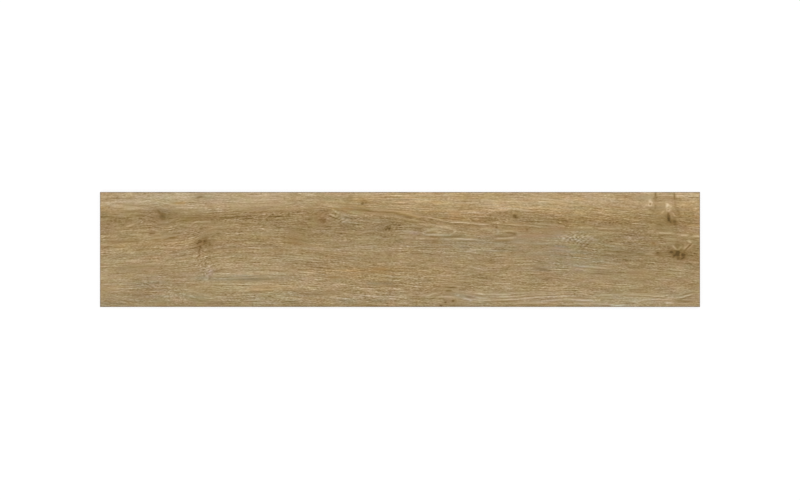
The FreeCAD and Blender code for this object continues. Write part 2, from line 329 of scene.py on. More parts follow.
STROKES = (
    Stroke("pale sapwood along the top", 400, 192, 900, 11, 16),
    Stroke("palest sapwood at the top left", 160, 203, 66, 5, 11),
    Stroke("cream at the left end", 124, 208, 14, 2.8, 12),
    Stroke("light on the top edge", 181, 193, 8, 2, 9),
    Stroke("sapwood right of the middle", 520, 206, 95, 6, 9),
    Stroke("lower part of that sapwood", 564, 205, 8, 3, 6),
    Stroke("sapwood at the right end", 692, 198, 9, 8, 7),
    Stroke("shade between the cracks", 664, 206, 9, 10, -9, 0, 0.45),
    Stroke("shade left of the cracks", 618, 204, 10, 3, -6),
    Stroke("gap in the sapwood", 355, 203, 12, 5, -10, 3),
    Stroke("dark band under the sapwood", 400, 219.5, 900, 4.8, -8),
    Stroke("darkest by the smeared knot", 166, 215, 13, 5, -6),
    Stroke("smooth shade right of the smeared knot", 174, 213.5, 8, 5, -4, -2, 0.6),
    Stroke("brown left of the smeared knot", 124, 219, 26, 7, -3, 1, 0.2),
    Stroke("darker right part of the band", 640, 221, 60, 3.5, -6, 2),
    Stroke("shade round the small dark knot", 510, 217, 16, 4, -4),
    Stroke("brown patch", 318, 228, 30, 10, -7, 1),
    Stroke("calm brown patch", 296, 234, 8, 10, -3, 1, 0.45),
    Stroke("olive by the brown knot", 315.5, 220.5, 4, 5, 0, 2, 0.6, -2),
    Stroke("reddish wood of the brown knot", 323.5, 220, 5, 4.5, 0, 2, 0.2, 3),
    Stroke("shade over the brown knot", 323, 211, 10, 3, -7),
    Stroke("orange round the ring knot", 364, 203, 6, 4, 0, 5),
    Stroke("shade by the speckled blot", 390, 228, 10, 4, -7),
    Stroke("shade left of the speckled blot", 353, 227.5, 9, 3, -7),
    Stroke("light inside the arch", 445, 229, 25, 4, 4, -2),
    Stroke("shade under the arch", 446, 237, 8, 2, -6),
    Stroke("shade round the leaning knot", 207, 243, 12, 7, -8),
    Stroke("shade right of the leaning knot", 255, 241, 30, 5, -5, 3),
    Stroke("shade left of the arch", 395, 237, 40, 6, -4),
    Stroke("shade by the dark corner", 503, 228, 5, 1.5, -9),
    Stroke("shade right of the eye", 530, 229, 14, 3, -5, 2),
    Stroke("calm pink wood right of the eye", 534, 236, 20, 4, 0, -1, 0.4, 3),
    Stroke("brown over the limed patch", 562, 230, 12, 2.2, -7, 5, 0.5, 1.5),
    Stroke("limed patch", 574, 238, 17, 4.5, 6, -7),
    Stroke("grey start of the limed patch", 558, 236, 2.5, 4, 3, -5, 0.4),
    Stroke("green under the limed patch", 572, 246, 5, 2, -3, 0, 0.5, -4),
    Stroke("light under the limed patch", 571, 251, 10, 3, 8),
    Stroke("mauve under the limed patch", 557, 247.5, 6, 1.8, 2, -5, 0.2, 4),
    Stroke("dark band left of the big knot", 632, 247, 55, 7, -10, -1),
    Stroke("shade round the big knot", 672, 253, 16, 5, -7),
    Stroke("shade at the right end", 693, 249, 11, 10, -9, 2),
    Stroke("shade over the big knot", 640, 232.5, 26, 5, -9),
    Stroke("light patch in the middle", 478, 251, 16, 4, 6, -3),
    Stroke("light patch left of the middle", 365, 248, 20, 3.5, 5, -2),
    Stroke("light left end", 108, 260, 14, 10, 6),
    Stroke("light left of the middle line", 148, 263, 10, 3, 7),
    Stroke("light corner of the left end", 108, 277, 15, 4, 10),
    Stroke("light over the lower left corner", 114, 291, 10, 3, 7),
    Stroke("light lower left", 240, 263, 42, 7, 6),
    Stroke("light streak lower left", 268, 273, 36, 3, 11),
    Stroke("second light streak lower left", 280, 285, 36, 3.5, 8),
    Stroke("third light streak lower left", 228, 285, 22, 4, 9),
    Stroke("dark corner lower left", 158, 293, 24, 8, -6, -2),
    Stroke("whitish patch lower left", 178, 295, 14, 4, 4, -4),
    Stroke("warm dark streak", 375, 270, 22, 2.5, -5, 3),
    Stroke("shade right of the light streaks", 314, 261, 11, 2.5, -8),
    Stroke("shade under the brown patch", 297, 241, 10, 3, -5),
    Stroke("shade left of the middle", 365, 257, 32, 3, -4),
    Stroke("shade by the small ring", 393, 253, 7, 3, -7),
    Stroke("shade lower middle", 410, 288, 30, 4, -7),
    Stroke("light over that shade", 414, 277, 12, 2.5, 6),
    Stroke("pale greyish streak", 582, 268, 24, 2.5, 8, -4),
    Stroke("shade lower right", 650, 262, 45, 7, -6),
    Stroke("calm brown patch lower right", 636, 273, 7, 6, -3, 1, 0.4),
    Stroke("pale round patch lower right", 681, 270, 7, 3, 7, -2),
    Stroke("light along the lower left edge", 262, 298, 60, 3, 6),
    Stroke("light along the lower right edge", 560, 298, 75, 3.5, 7),
    Stroke("light lower right", 636, 302, 36, 5, 11),
    Stroke("dark lower edge", 390, 307.5, 230, 2.4, -11, -4, 0.2),
    Stroke("warm top right", 530, 209, 140, 13, 0, 6),
    Stroke("warm right end", 693, 213, 12, 14, 0, 4),
    Stroke("reddish right edge", 698, 221, 3, 8, 9, 1, 0.2, 4),
    Stroke("ochre left end", 104, 210, 8, 2.5, 0, 8),
    Stroke("green left end", 108, 219, 5, 3, 0, 0, 0.2, -3),
    Stroke("green dash in the band", 187, 219.2, 4, 1.6, -4, 2, 0.2, -4),
    Stroke("warm left", 145, 244, 30, 5, 0, 5),
    Stroke("green wood right of the leaning knot", 253, 236.5, 4, 2, 0, 0, 0, -3),
    Stroke("warm middle", 385, 272, 45, 6, 0, 5),
    Stroke("orange patch left of the middle", 345, 270, 9, 4, 0, 3),
    Stroke("orange patch in the middle", 383, 269, 14, 3, 0, 2, 0, 1),
    Stroke("orange lines at the bottom", 262, 289, 20, 2, 1, 2),
    Stroke("grey top left", 175, 199, 60, 4, 0, -2),
    Stroke("greenish blot in the sapwood", 202, 197.8, 7, 2.6, -10, -6, 0, -2),
    Stroke("grey by the brown knot", 350, 220.5, 10, 4, 3, -8, 0.3),
    Stroke("grey by the speckled blot", 381, 221, 9, 4, 2, -8, 0.2),
    Stroke("green over the grey", 356, 212.5, 5, 1.6, 0, 0, 0.3, -3),
    Stroke("mauve by the arch", 413, 232.8, 5, 1.4, 2, -3, 0.3, 5),
    Stroke("grey right of the arch", 484, 244, 36, 6, 0, -8),
    Stroke("grey right", 582, 253, 42, 10, 0, -6),
    Stroke("mauve over the dark band", 631, 239, 9, 6, 1, -3, 0, 3),
    Stroke("grey under the pale streak", 578, 269, 26, 5, 0, -5),
    Stroke("pink in the pale streak", 579, 269, 4, 1.5, 2, 0, 0, 4),
    Stroke("dark grey streak", 543, 269, 8, 3, -4, -8),
    Stroke("blue-grey streak", 240, 277, 28, 2.4, -2, -9),
    Stroke("grey lower left", 150, 284.5, 15, 3.5, -2, -11),
    Stroke("cool specks lower left", 206, 276, 7, 8, 1, -5),
    Stroke("olive patch lower left", 206, 289, 6, 2.6, -2, 3, 0.5, -2),
    Stroke("olive patch in the corner", 161, 303, 4, 3, -2, 3, 0.5, -2),
    Stroke("grey along the lower left", 215, 299, 60, 6, 0, -5),
    Stroke("grey-green patch on the lower edge", 280, 298, 22, 3.5, 1, -7, 0, -1),
    Stroke("grey corner", 105, 302, 14, 4, 0, -6),
    Stroke("pale blue patch on the lower edge", 346, 301, 8, 2.5, 5, -7),
    Stroke("second pale blue patch", 382, 299.5, 8, 2.5, 4, -7),
    Stroke("grey-white streaks on the lower edge", 466, 296, 14, 3.5, 4, -4),
    Stroke("grey along the lower right", 600, 300, 120, 7, 0, -5),
    Stroke("pale blue patch on the top edge", 643, 198, 6, 2, 3, -10, 0.5),
    Stroke("warm top edge", 423, 195, 34, 4, 0, 5),
    Stroke("grey brown patch", 355, 229, 28, 5, 0, -4),
    Stroke("shade of the curl", 399, 246.5, 5, 3, -11),
    Stroke("light right of the brown knot", 344, 216.5, 10, 3, 6, -2),
    Stroke("light left of the middle", 352, 288, 16, 3, 6),
    Stroke("calm sapwood", 245, 200, 36, 5, 2, 0, 0.3),
    Stroke("calm pale patch", 272, 205.5, 9, 3.5, 2, 0, 0.3),
    Stroke("calm sapwood right of the middle", 545, 200, 55, 5, 0, 0, 0.25),
    Stroke("calm right of the middle", 535, 251, 14, 9, 0, 0, 0.3),
    Stroke("calm lower right", 662, 276, 24, 6, 0, 0, 0.3),
    Stroke("calm lower left edge", 200, 305.5, 90, 2.5, -2, 0, 0.2),
    Stroke("calm under the cracks", 664, 222, 8, 6, -1, 0, 0.4),
    Stroke("pink below the leaning knot", 210.5, 272, 2.2, 4, 2, -3, 0.3, 4),
    Stroke("lively band", 270, 216, 75, 6, 0, 0, -0.3),
    Stroke("lively lower edge", 500, 296, 170, 7, 0, 0, -0.28),
    Stroke("lively lower middle", 365, 286, 38, 8, 0, 0, -0.2),
    Stroke("lively arch", 440, 230, 40, 11, 0, 0, -0.2),
    Stroke("lively right end", 672, 235, 24, 10, 0, 0, -0.2),
    Stroke("reddish right lobe", 683.5, 256, 3, 3, 0, 3, 0, 1.5),
    Stroke("red under the dark tail", 685, 226, 5, 3, 0, 1, 0, 3),
    Stroke("calm under the arc", 447, 301.5, 10, 3, 3, 0, 0.7),
    Stroke("calm dashes over the curl", 449, 289, 8, 3, 0, 0, 0.5),
    Stroke("grey right of the curl", 464, 297, 7, 5, -2, -1, 0.4),
    Stroke("lilac right of the curl", 470, 298, 6, 2.5, 1, -1, 0.3, 3),
    Stroke("cool smeared knot", 162, 215, 6, 5, 0, -6),
    Stroke("olive heart of the big knot", 676, 253, 5, 4, 0, 3, 0, -2),
    Stroke("calm middle", 480, 257, 80, 12, 0, 0, 0.17),
    Stroke("calm right of the curl", 588, 283, 30, 8, 0, 0, 0.2),
    Stroke("calm left end", 112, 223, 22, 8, 0, 0, 0.17),
    Stroke("calm top middle", 412, 199, 42, 7, 0, 0, 0.12),
    Stroke("calm under the brown knot", 325, 238, 22, 9, 0, 0, 0.14),
    Stroke("tan corner at the top left", 110, 195, 14, 5, -8, 2),
)
FRAY = (70 * MM, 4.0 * MM)  # length and width of the streaks that fray a stroke
FRAY_TONE, FRAY_EDGE = 0.35, 0.4  # how much they change its tone, and its edge in half widths


def stroke_fields(x, y, fibres):
    """Tone, warmth, calm and blush: a bell along x and across y for each stroke, frayed along the fibres."""
    streak = lattice_noise(x, fibres, *FRAY, seed=11)
    tone, warmth, calm, blush = np.zeros((4, *np.shape(x)))
    for stroke in STROKES:
        middle_x, middle_y = from_photo(stroke.column, stroke.row)
        u = (x - middle_x) / (stroke.half_length * PIXEL)
        v = (y - middle_y) / (stroke.half_width * PIXEL) + FRAY_EDGE * streak
        shape = bell(np.hypot(u, v)) * (1 + FRAY_TONE * streak)
        tone += stroke.tone * shape
        warmth += stroke.warmth * shape
        calm += stroke.calm * shape
        blush += stroke.blush * shape
    return tone, warmth, calm, blush


print(f"{len(STROKES)} strokes")

# %% [markdown]
# ## Lines and cracks
#
# Some single lines stand out: the light line that comes down from the sapwood, with a painted shadow under
# it, the outline of the arch, cracks that run in from the edge. Each is a curve through a few points. Its
# tone falls off with the distance to the curve, and a crack is also pressed into the face. The painted
# shadow is a dark line just below a light one, where a raised line would throw shade.

# %% Marks that follow a curve
class Mark(NamedTuple):
    """A line of the print, in photo pixels: points and half width, its tone and that of its painted shadow.
    """

    name: str
    points: tuple
    half_width: float
    tone: float
    under: float = 0.0  # tone of the painted shadow just below the line
    warmth: float = 0.0
    depth: float = 0.0  # millimetres


MARKS = (
    Mark("dark band, left end", ((98, 218.5), (120, 219), (142, 218.5), (158, 219.5)), 3.6, -7),
    Mark("dark band",
         ((172, 217.6), (184, 217.6), (196, 217.3), (214, 216.8), (236, 216), (255, 214.6), (275, 213.6),
          (300, 213), (330, 212)), 2.7, -12, 0, 2),
    Mark("light edge of the sapwood", ((184, 210.8), (196, 210.8), (208, 210.4)), 0.7, 9),
    Mark("second light edge of the sapwood", ((225, 209), (245, 208.4), (262, 207.6), (280, 206.6)), 0.8, 7),
    Mark("light line under the smeared knot", ((157.5, 222.3), (163, 222.1), (168, 222.3)), 0.6, 13),
    Mark("lower edge of the dark band", ((154.5, 224.8), (163, 224.8), (171.5, 224.5)), 0.6, -16),
    Mark("light line left of the leaning knot",
         ((191, 222.8), (199, 222.2), (206, 222), (214, 221.6)), 0.6, 17, -8),
    Mark("light line over the leaning knot", ((204, 231), (216.5, 227.2), (227, 226)), 0.55, 14, -8),
    Mark("upright line below the leaning knot", ((209, 246.6), (209.2, 249), (209, 251.6)), 0.7, -9),
    Mark("dark dash at the left", ((148.8, 233.9), (151.6, 233.5), (155, 233.2)), 0.6, -21),
    Mark("second dash at the left", ((163, 233.4), (164.6, 232.8), (166.8, 232.3)), 0.6, -16),
    Mark("thin dark line at the left", ((98, 242.5), (114, 241.7), (129, 241.5), (141, 240.4)), 0.55, -14),
    Mark("middle of that line", ((151.5, 239.9), (156, 239.8), (160.2, 239.6)), 0.55, -20),
    Mark("right end of that line", ((168.9, 237.6), (172.5, 237.3), (176.5, 237.3)), 0.6, -22),
    Mark("light line over it", ((139, 239.2), (155, 238.2), (166, 236.2), (188, 234.8)), 0.5, 13),
    Mark("dark line lower left", ((108, 270), (130, 268), (147, 266.6), (166, 265.4)), 0.6, -13),
    Mark("dark line in the blue-grey streak",
         ((215, 279.6), (240, 279.6), (260, 279), (282, 279.2)), 0.6, -17),
    Mark("grey line in the sapwood", ((119, 204.6), (132, 205.4), (149, 205.6)), 0.6, -26),
    Mark("cream line under it", ((120, 208), (131, 208), (142, 207.4)), 0.9, 18),
    Mark("dark line under the cream", ((120, 212.3), (128, 211.6), (135, 211.2), (149, 210.4)), 0.7, -14),
    Mark("orange dash in the sapwood", ((176.4, 203.6), (180, 203.5), (184, 203.1)), 0.7, -6, 0, 9),
    Mark("dash in the greenish blot", ((196.5, 198.2), (199.4, 197), (202.4, 196)), 0.7, -20),
    Mark("dark line lower middle", ((298, 294), (322, 294.2), (345, 293.8)), 0.6, -15),
    Mark("orange line", ((246, 289.6), (258, 289.4), (272, 289.6)), 0.6, 15, -10, 6),
    Mark("second orange line", ((252, 286.6), (266, 286.4), (282, 286.6)), 0.5, 8, -7, 4),
    Mark("dark line out of the sapwood, start",
         ((340, 207.4), (354, 209.6), (366, 210.6), (380, 212.3)), 0.65, -20),
    Mark("dark line out of the sapwood, middle", ((383, 212.2), (392, 212.6), (401, 214.6)), 0.65, -20),
    Mark("dark line out of the sapwood, end", ((404, 215.6), (408, 216.9), (414, 217.7)), 0.75, -26),
    Mark("dark dash past its end", ((418, 218.4), (421, 218.8), (424, 219)), 0.65, -17),
    Mark("dark spot past its end", ((429.6, 219.5), (431.2, 219.6), (433, 219.8)), 0.75, -20),
    Mark("light line down to the eye, start", ((403, 213.8), (415.5, 216.2), (424, 217.4)), 0.6, 24),
    Mark("light line down to the eye, middle",
         ((426.5, 217.9), (431.5, 218.2), (437, 219.4), (445, 220.9)), 0.55, 40, -18),
    Mark("light line down to the eye, end",
         ((447, 221.4), (452, 222.2), (462, 222.5), (476, 224), (484, 224.4), (495, 223.4)), 0.55, 46, -28),
    Mark("light line past the eye",
         ((499.5, 224.7), (508, 224.5), (518, 224.9), (529.6, 225.5), (538.8, 226.8), (557, 227.6)),
         0.55, 27, -15),
    Mark("second line past the eye", ((537, 224.5), (544, 224.4), (553, 224.8)), 0.5, 14, -8),
    Mark("mauve dash over the arch", ((433, 217.5), (435.5, 217.7), (438, 217.8)), 0.6, -16, 0, -4),
    Mark("second dash over the arch", ((443.7, 217.2), (446, 217.3), (448, 217.5)), 0.6, -16, 0, -3),
    Mark("reddish line over the arch", ((452, 217.4), (458, 218), (466, 218.8)), 0.7, -16, 0, 4),
    Mark("orange dash right of the middle", ((449.6, 213.4), (454, 213.4), (459.6, 213.6)), 0.7, 8, 0, 6),
    Mark("second line down", ((401, 216.8), (407, 219.2), (414.2, 220.2), (418.5, 221.8)), 0.65, 21, -12),
    Mark("pale dash over the arch", ((424.2, 225), (428, 224.9), (432.4, 225.2)), 0.9, 12),
    Mark("pink dash left of the arch", ((411.6, 225), (413.4, 225), (415.4, 225.4)), 0.8, 15, 0, -3),
    Mark("dark line left of the arch", ((410, 228), (417, 228.3), (424, 228.3)), 0.6, -22),
    Mark("arch, outside",
         ((436, 226.4), (443.7, 226.8), (448, 227.8), (451.5, 228.7), (455, 230.4), (455.2, 231.6),
          (452, 233.6), (449.6, 235)), 0.7, 31),
    Mark("arch, lower side", ((424.2, 234.4), (432, 234.8), (440, 235), (450, 235.3)), 0.7, 31, 0, -4),
    Mark("arch, dark inside", ((444, 230.6), (449, 231.2), (452.4, 231.4), (450, 232.8)), 0.8, -20),
    Mark("arch, brown inside", ((425, 232.6), (430, 232.8), (436, 232.7)), 0.8, -18, 0, 2),
    Mark("arch, light inside", ((424.5, 231.8), (430.6, 229.8), (441, 229.4)), 0.8, 19, 0, -3),
    Mark("light streak left of the arch", ((402, 231), (408, 231.6), (416.5, 232.8)), 0.9, 20, 0, -4),
    Mark("light line under the arch, left", ((401.5, 238.2), (408, 237.6), (415, 237.9)), 0.7, 16),
    Mark("light line under the arch, middle", ((416, 238.4), (426, 238.4), (437.5, 238.6)), 0.6, 34, -12),
    Mark("light line under the arch, right",
         ((439.6, 239), (454, 239.3), (465, 239.1), (478, 239.8)), 0.6, 36, -14, -3),
    Mark("brown line over it", ((428, 236.7), (434, 236.8), (440, 236.9)), 0.7, -28, 0, 4),
    Mark("mauve line over it", ((441, 236.9), (448, 236.8), (455, 236.9), (465, 237)), 0.7, -23, 0, -3),
    Mark("dark line under it", ((432, 241.4), (436, 241.5), (440, 241.4)), 0.9, -21, 0, 2),
    Mark("upper side of the eye", ((504.4, 233.2), (509, 233), (513, 233.4), (515.6, 234.2)), 0.9, -24),
    Mark("lower side of the eye", ((496.5, 236.4), (503, 236.6), (510.5, 236.2), (515, 235.2)), 0.7, -22),
    Mark("light over the eye", ((502.8, 231.4), (509, 231.3), (516, 231.5)), 0.6, 25),
    Mark("light under the eye", ((494.4, 238.6), (500, 238.4), (510, 238.2), (516, 237.2)), 0.65, 29),
    Mark("light right of the eye", ((516.8, 235.5), (520, 235.3), (524, 235.4)), 0.6, 17),
    Mark("lens under the eye", ((491.4, 241.4), (497, 240.9), (504, 240.9), (513, 241.2)), 1.2, -15, 0, 1),
    Mark("light under the lens", ((496, 244.3), (501, 244.2), (507.2, 244)), 0.65, 15, 0, -4),
    Mark("light right of the lens", ((514, 242.5), (519, 242.4), (524, 242.4)), 0.6, 15),
    Mark("light arc left of the eye", ((496.2, 229.4), (498.4, 231.2), (497.6, 233.8)), 0.8, 19, 0, -5),
    Mark("faint crack in the sapwood",
         ((469, 194), (466, 199), (463.5, 204), (459, 210), (455.6, 213)), 0.7, -18),
    Mark("light dash over the limed patch", ((579, 227.7), (585, 227.5), (592, 227.7)), 0.55, 18),
    Mark("light start of the limed patch", ((560.5, 237), (563, 236.4), (566.4, 235.8)), 0.8, 12, 0, 0),
    Mark("second start of the limed patch", ((561, 238.4), (564, 239), (567.6, 240.8)), 0.9, 17, 0, -2),
    Mark("light line right of the limed patch", ((591, 239), (594, 239), (598, 239.2)), 0.6, 17, 0, -3),
    Mark("upper line right of the limed patch",
         ((591.5, 235.4), (594.5, 235.2), (598, 235.2)), 0.6, 16, 0, -2),
    Mark("dark line right of the limed patch", ((591.5, 237), (597, 237), (604, 237.2)), 0.8, -15),
    Mark("upright dash right of the limed patch", ((601.6, 231.8), (601.6, 233.6), (601.5, 235.6)), 0.7, 14),
    Mark("line to the right end, start", ((595, 228.8), (606, 228.4), (622, 228.4)), 0.55, 21, -15),
    Mark("line to the right end, middle", ((657, 232.9), (664.5, 233.4), (674, 233.6)), 0.65, 38, -18),
    Mark("line to the right end, dash", ((679.6, 235.3), (684, 235.3), (688, 235.5)), 0.6, 38),
    Mark("line to the right end, end", ((690.5, 236.3), (696, 236.5), (702, 236.6)), 0.65, 42, -15),
    Mark("light dash over the big knot", ((665.8, 239), (669, 239), (676, 239.5)), 0.8, 16),
    Mark("left crack in the top edge", ((655.4, 191), (655.4, 194), (655.4, 197)), 0.62, -52, 0, 0, 0.35),
    Mark("end of the left crack", ((655.3, 198), (655.4, 200), (655.6, 202)), 0.8, -15),
    Mark("right crack in the top edge", ((674.4, 191), (674.4, 194), (674.6, 199)), 0.62, -48, 0, 0, 0.35),
    Mark("end of the right crack", ((674.7, 200), (675.2, 203.5), (676, 207)), 0.9, -13),
    Mark("dark leaf under the right crack", ((676.4, 209.4), (678.2, 212.2), (680.2, 215.6)), 1.0, -34),
    Mark("loop by the right crack",
         ((680.2, 207.2), (681, 205.6), (683, 205.2), (684.4, 206.8), (683.4, 208.6)), 0.6, 18),
    Mark("light dash by the dark tail", ((670.8, 215.6), (671.3, 217), (671.9, 218.6)), 0.7, 20),
    Mark("light ray by the dark tail", ((672.4, 213.2), (674, 215), (675.6, 217)), 0.6, 13),
    Mark("dark line left of the tail", ((656.5, 223.9), (660, 224.8), (663.5, 226.1)), 0.75, -19),
    Mark("rising dash under the tail", ((683.8, 227.2), (686.5, 225.4), (689.4, 223.6)), 0.7, -15),
    Mark("light V over the big knot, left", ((672.2, 245.2), (674.6, 248), (677.2, 250.4)), 0.65, 24),
    Mark("light V over the big knot, right", ((677.6, 250.2), (679.4, 248.6), (681.6, 246.2)), 0.65, 26),
    Mark("inner chevron", ((683.2, 249.4), (685, 246.6), (685.4, 243.6)), 0.65, 16),
    Mark("upper chevron", ((687.4, 240.2), (689.4, 240.9), (691.4, 242)), 0.7, 17),
    Mark("light gap in the big knot", ((680.5, 253), (680.4, 255), (680.6, 257.2)), 0.7, 26),
    Mark("pale line under the big knot", ((676, 261), (678, 261), (680.4, 260.8)), 0.7, 14),
    Mark("dark streak left of the big knot", ((606, 251.5), (630, 253), (650, 255.5), (661, 253)), 1.0, -12),
    Mark("light dash left of the big knot", ((644, 253.8), (650, 254), (657, 254.2)), 0.55, 17),
    Mark("dark grey line", ((532, 266.4), (540, 268.8), (550, 269.9)), 0.9, -18),
    Mark("light line right of it", ((576, 266), (590, 267), (613, 269.2)), 0.6, 16, -10),
    Mark("dark line under that", ((587, 273.2), (598, 273.9), (612, 274.2)), 0.6, -14),
    Mark("mauve line", ((368, 283.6), (380, 283.4), (391, 283.8)), 0.6, -9, 0, -8),
    Mark("reddish line", ((373, 269.8), (379, 269.8), (385, 269.6)), 0.9, -9, 0, 5),
    Mark("dark red dash", ((329, 277.6), (333, 277.4), (337.5, 277.5)), 0.7, -18, 0, 5),
    Mark("first line on the lower edge",
         ((476, 293.4), (496, 294.4), (520, 293.2), (545, 292.4)), 0.5, 20, -11),
    Mark("second line on the lower edge",
         ((490, 297.4), (512, 296.3), (534, 294.6), (560, 293.8)), 0.5, 22, -12),
    Mark("third line on the lower edge",
         ((466, 299), (489, 300.3), (515, 299), (540, 297), (567, 296.4)), 0.55, 31, -14),
    Mark("fourth line on the lower edge", ((538, 301.6), (566, 299.8), (600, 300.9)), 0.55, 29, -14),
    Mark("fifth line on the lower edge", ((505, 304.2), (530, 303), (556, 303.2)), 0.55, 23, -12),
    Mark("sixth line on the lower edge", ((566, 304), (590, 303.6), (612, 304.4)), 0.5, 20, -10),
    Mark("ring in the middle",
         ((392.8, 247.4), (394.6, 246), (396, 247.8), (394.4, 249.8), (392.6, 248)), 0.55, 15),
    Mark("second ring in the middle",
         ((380.4, 256), (383, 253.6), (386, 256), (383, 258.6), (380.4, 256.4)), 0.6, 11),
    Mark("reddish speck", ((652, 243), (653.4, 243.3), (655, 243.4)), 0.8, -20, 0, 9),
    Mark("arc round the curl",
         ((433, 300.2), (438.8, 297.3), (445, 296.6), (452, 297.2), (456.4, 299)), 0.65, 24),
    Mark("dark arc over the curl", ((441, 295.6), (447, 295.2), (453, 295.6)), 0.7, -15),
    Mark("dark arc right of the curl", ((455.4, 299), (456, 300.6), (455.2, 302.4)), 0.6, -16),
    Mark("upper dash over the curl", ((443, 287.3), (449, 287.5), (456, 287.4)), 0.6, -34),
    Mark("lower dash over the curl", ((445.4, 290.5), (448.6, 290.4), (452.4, 290.6)), 0.7, -44),
    Mark("light line left of the curl", ((423, 295.6), (429, 295.4), (433, 294), (441, 293)), 0.6, 24),
    Mark("light dash left of the curl", ((407.6, 294.7), (410.4, 294.6), (413.4, 294.8)), 0.6, 20),
    Mark("pale band right of the curl",
         ((457, 294.6), (461, 297.4), (465, 299), (469.5, 300)), 1.2, 4, 0, -3),
    Mark("second ray right of the curl", ((475, 292.8), (479, 293.4), (484, 294.5)), 0.55, 23, -11),
    Mark("third ray right of the curl", ((475, 297.4), (482, 298), (490, 298.8)), 0.55, 24, -11),
    Mark("fourth ray right of the curl", ((473, 301.8), (478, 301.9), (483.4, 302)), 0.6, 20),
    Mark("curl by the brown knot", ((328, 212.6), (331.5, 215), (336, 217.3), (344, 218.6)), 0.6, 23, -15),
    Mark("second curl by the brown knot",
         ((331.5, 208.4), (337, 209.4), (342.3, 210.8), (351.5, 213)), 0.6, -16, 0, 5),
    Mark("third curl by the brown knot", ((333, 211), (340, 213.8), (348, 216)), 0.6, 16, -11),
    Mark("fourth curl by the brown knot",
         ((341, 219.6), (344, 221.4), (347, 220.4), (349.6, 222.4)), 0.6, 16),
    Mark("orange dash by the brown knot", ((343, 208.4), (347, 208.6), (352, 209)), 0.7, 6, 0, 8),
    Mark("white upright line lower left", ((208, 276), (208, 280), (208, 284.6)), 0.6, 15),
    Mark("short upright line beside it", ((205.4, 277.4), (206, 280), (206.4, 282.8)), 0.6, 9),
    Mark("dark upright line beside it", ((210.6, 277.6), (210.6, 281), (210.8, 284.2)), 0.8, -14),
    Mark("dash below the dots", ((210.6, 257.9), (212.5, 257.3), (215.2, 256.8)), 0.6, -18),
    Mark("bent line at the lower right end", ((678.6, 298), (688, 296), (694, 293.6)), 0.6, 16, -13),
    Mark("dark line over it", ((683, 294.6), (691, 293), (696.4, 290.6)), 0.6, -16),
    Mark("bright speck over them", ((676.4, 289.2), (678.2, 288.5), (680.2, 288.2)), 0.8, 20),
    Mark("dark line on the lower right edge", ((675, 302.4), (685, 302.3), (696, 302.4)), 0.55, -17),
    Mark("warm line under it", ((672, 303.8), (684, 303.6), (696, 303.4)), 0.6, 14, 0, 5),
    Mark("bright dash beside it", ((665.4, 302.8), (668, 302.9), (670.6, 303)), 0.6, 21),
    Mark("seventh line on the lower edge", ((600, 297), (615, 297.8), (632, 298.2)), 0.45, 22, -13),
    Mark("eighth line on the lower edge", ((622, 294.4), (640, 295), (664, 296.4)), 0.45, 20, -12),
    Mark("ninth line on the lower edge", ((640, 299.6), (655, 299.2), (676, 299.8)), 0.45, 20, -12),
    Mark("white line on the lower edge", ((611, 305.2), (620, 305.3), (629, 305.2)), 0.6, 22, 0, -6),
    Mark("dark line falling to the arch",
         ((357, 210.3), (372, 211.2), (388, 212.6), (402, 214.4), (416, 216.8)), 0.65, -13, 0, 4),
    Mark("pale ray of the lower left", ((176, 287.5), (186, 289.5), (198, 293), (212, 297)), 0.6, 15, -10),
    Mark("second pale ray of the lower left", ((180, 293), (190, 296), (202, 300)), 0.6, 13, -9),
    Mark("dark ray of the lower left", ((190, 298), (205, 301.2), (225, 303.6)), 0.6, -13),
    Mark("lilac dash over the grey streak", ((234, 274.6), (239, 274.4), (246, 274.8)), 0.7, 15, 0, -5),
    Mark("left chevron over the big knot", ((673, 246), (674.6, 248), (676.4, 249.6)), 0.55, 19),
    Mark("middle chevron over the big knot", ((684, 249.4), (687, 246.4), (689.6, 243.8)), 0.55, 26),
    Mark("right chevron over the big knot",
         ((685.4, 250.6), (689.6, 247.6), (692.8, 244.6), (694.8, 243.6)), 0.55, 24),
    Mark("top of the right chevron", ((691.6, 242.8), (689.4, 241.4), (687.2, 240)), 0.55, 26),
    Mark("dark between the chevrons", ((684.6, 250.4), (688.4, 247.2), (691.4, 244)), 0.55, -24),
    Mark("upper dash left of the big knot", ((645.2, 254.2), (650, 254), (655.6, 254.8)), 0.65, 18),
    Mark("second dash left of the big knot", ((648, 256.2), (652, 256), (656.8, 256.5)), 0.5, 13),
    Mark("ray right of the dark tail", ((672.6, 212.6), (674, 214.2), (675.4, 216.4)), 0.55, 24),
    Mark("second ray right of the dark tail", ((676.6, 211), (678.6, 213), (680.6, 214.4)), 0.5, 20),
    Mark("ray left of the dark tail", ((661, 213.8), (662.6, 212.2), (664.2, 210.8)), 0.55, 24),
    Mark("light stroke in the dark band", ((124.5, 229.2), (129, 226.6), (135.6, 224.8)), 0.6, 17, -9),
    Mark("second stroke in the dark band", ((131, 221.6), (136, 221), (143.4, 220.8)), 0.6, 17),
    Mark("third stroke in the dark band", ((116, 228.8), (118, 228.2), (120, 228.4)), 0.7, 15),
    Mark("dark ray right of the dark tail", ((672.2, 210.8), (674.6, 212.8), (676.4, 215.4)), 0.55, -24),
    Mark("dark ray by the cream ring", ((651.2, 209.8), (653.4, 210.8), (655, 212.6)), 0.65, -22),
    Mark("long light ray of the curl", ((461.5, 297), (465, 298.8), (469, 300), (472.4, 300.6)), 0.65, 30),
    Mark("dark arch under the light ray", ((463.6, 301), (466.4, 299.8), (468.6, 301)), 0.55, -22),
    Mark("upper light ray of the curl", ((467.4, 294), (471, 295.4), (475, 296.2)), 0.55, 22),
    Mark("dark heart of the curl", ((466.6, 297), (469.6, 296.4), (473, 297.6)), 0.6, -28),
    Mark("light line right of the curl", ((475.6, 297.6), (481, 298.9), (486, 299.4)), 0.55, 10),
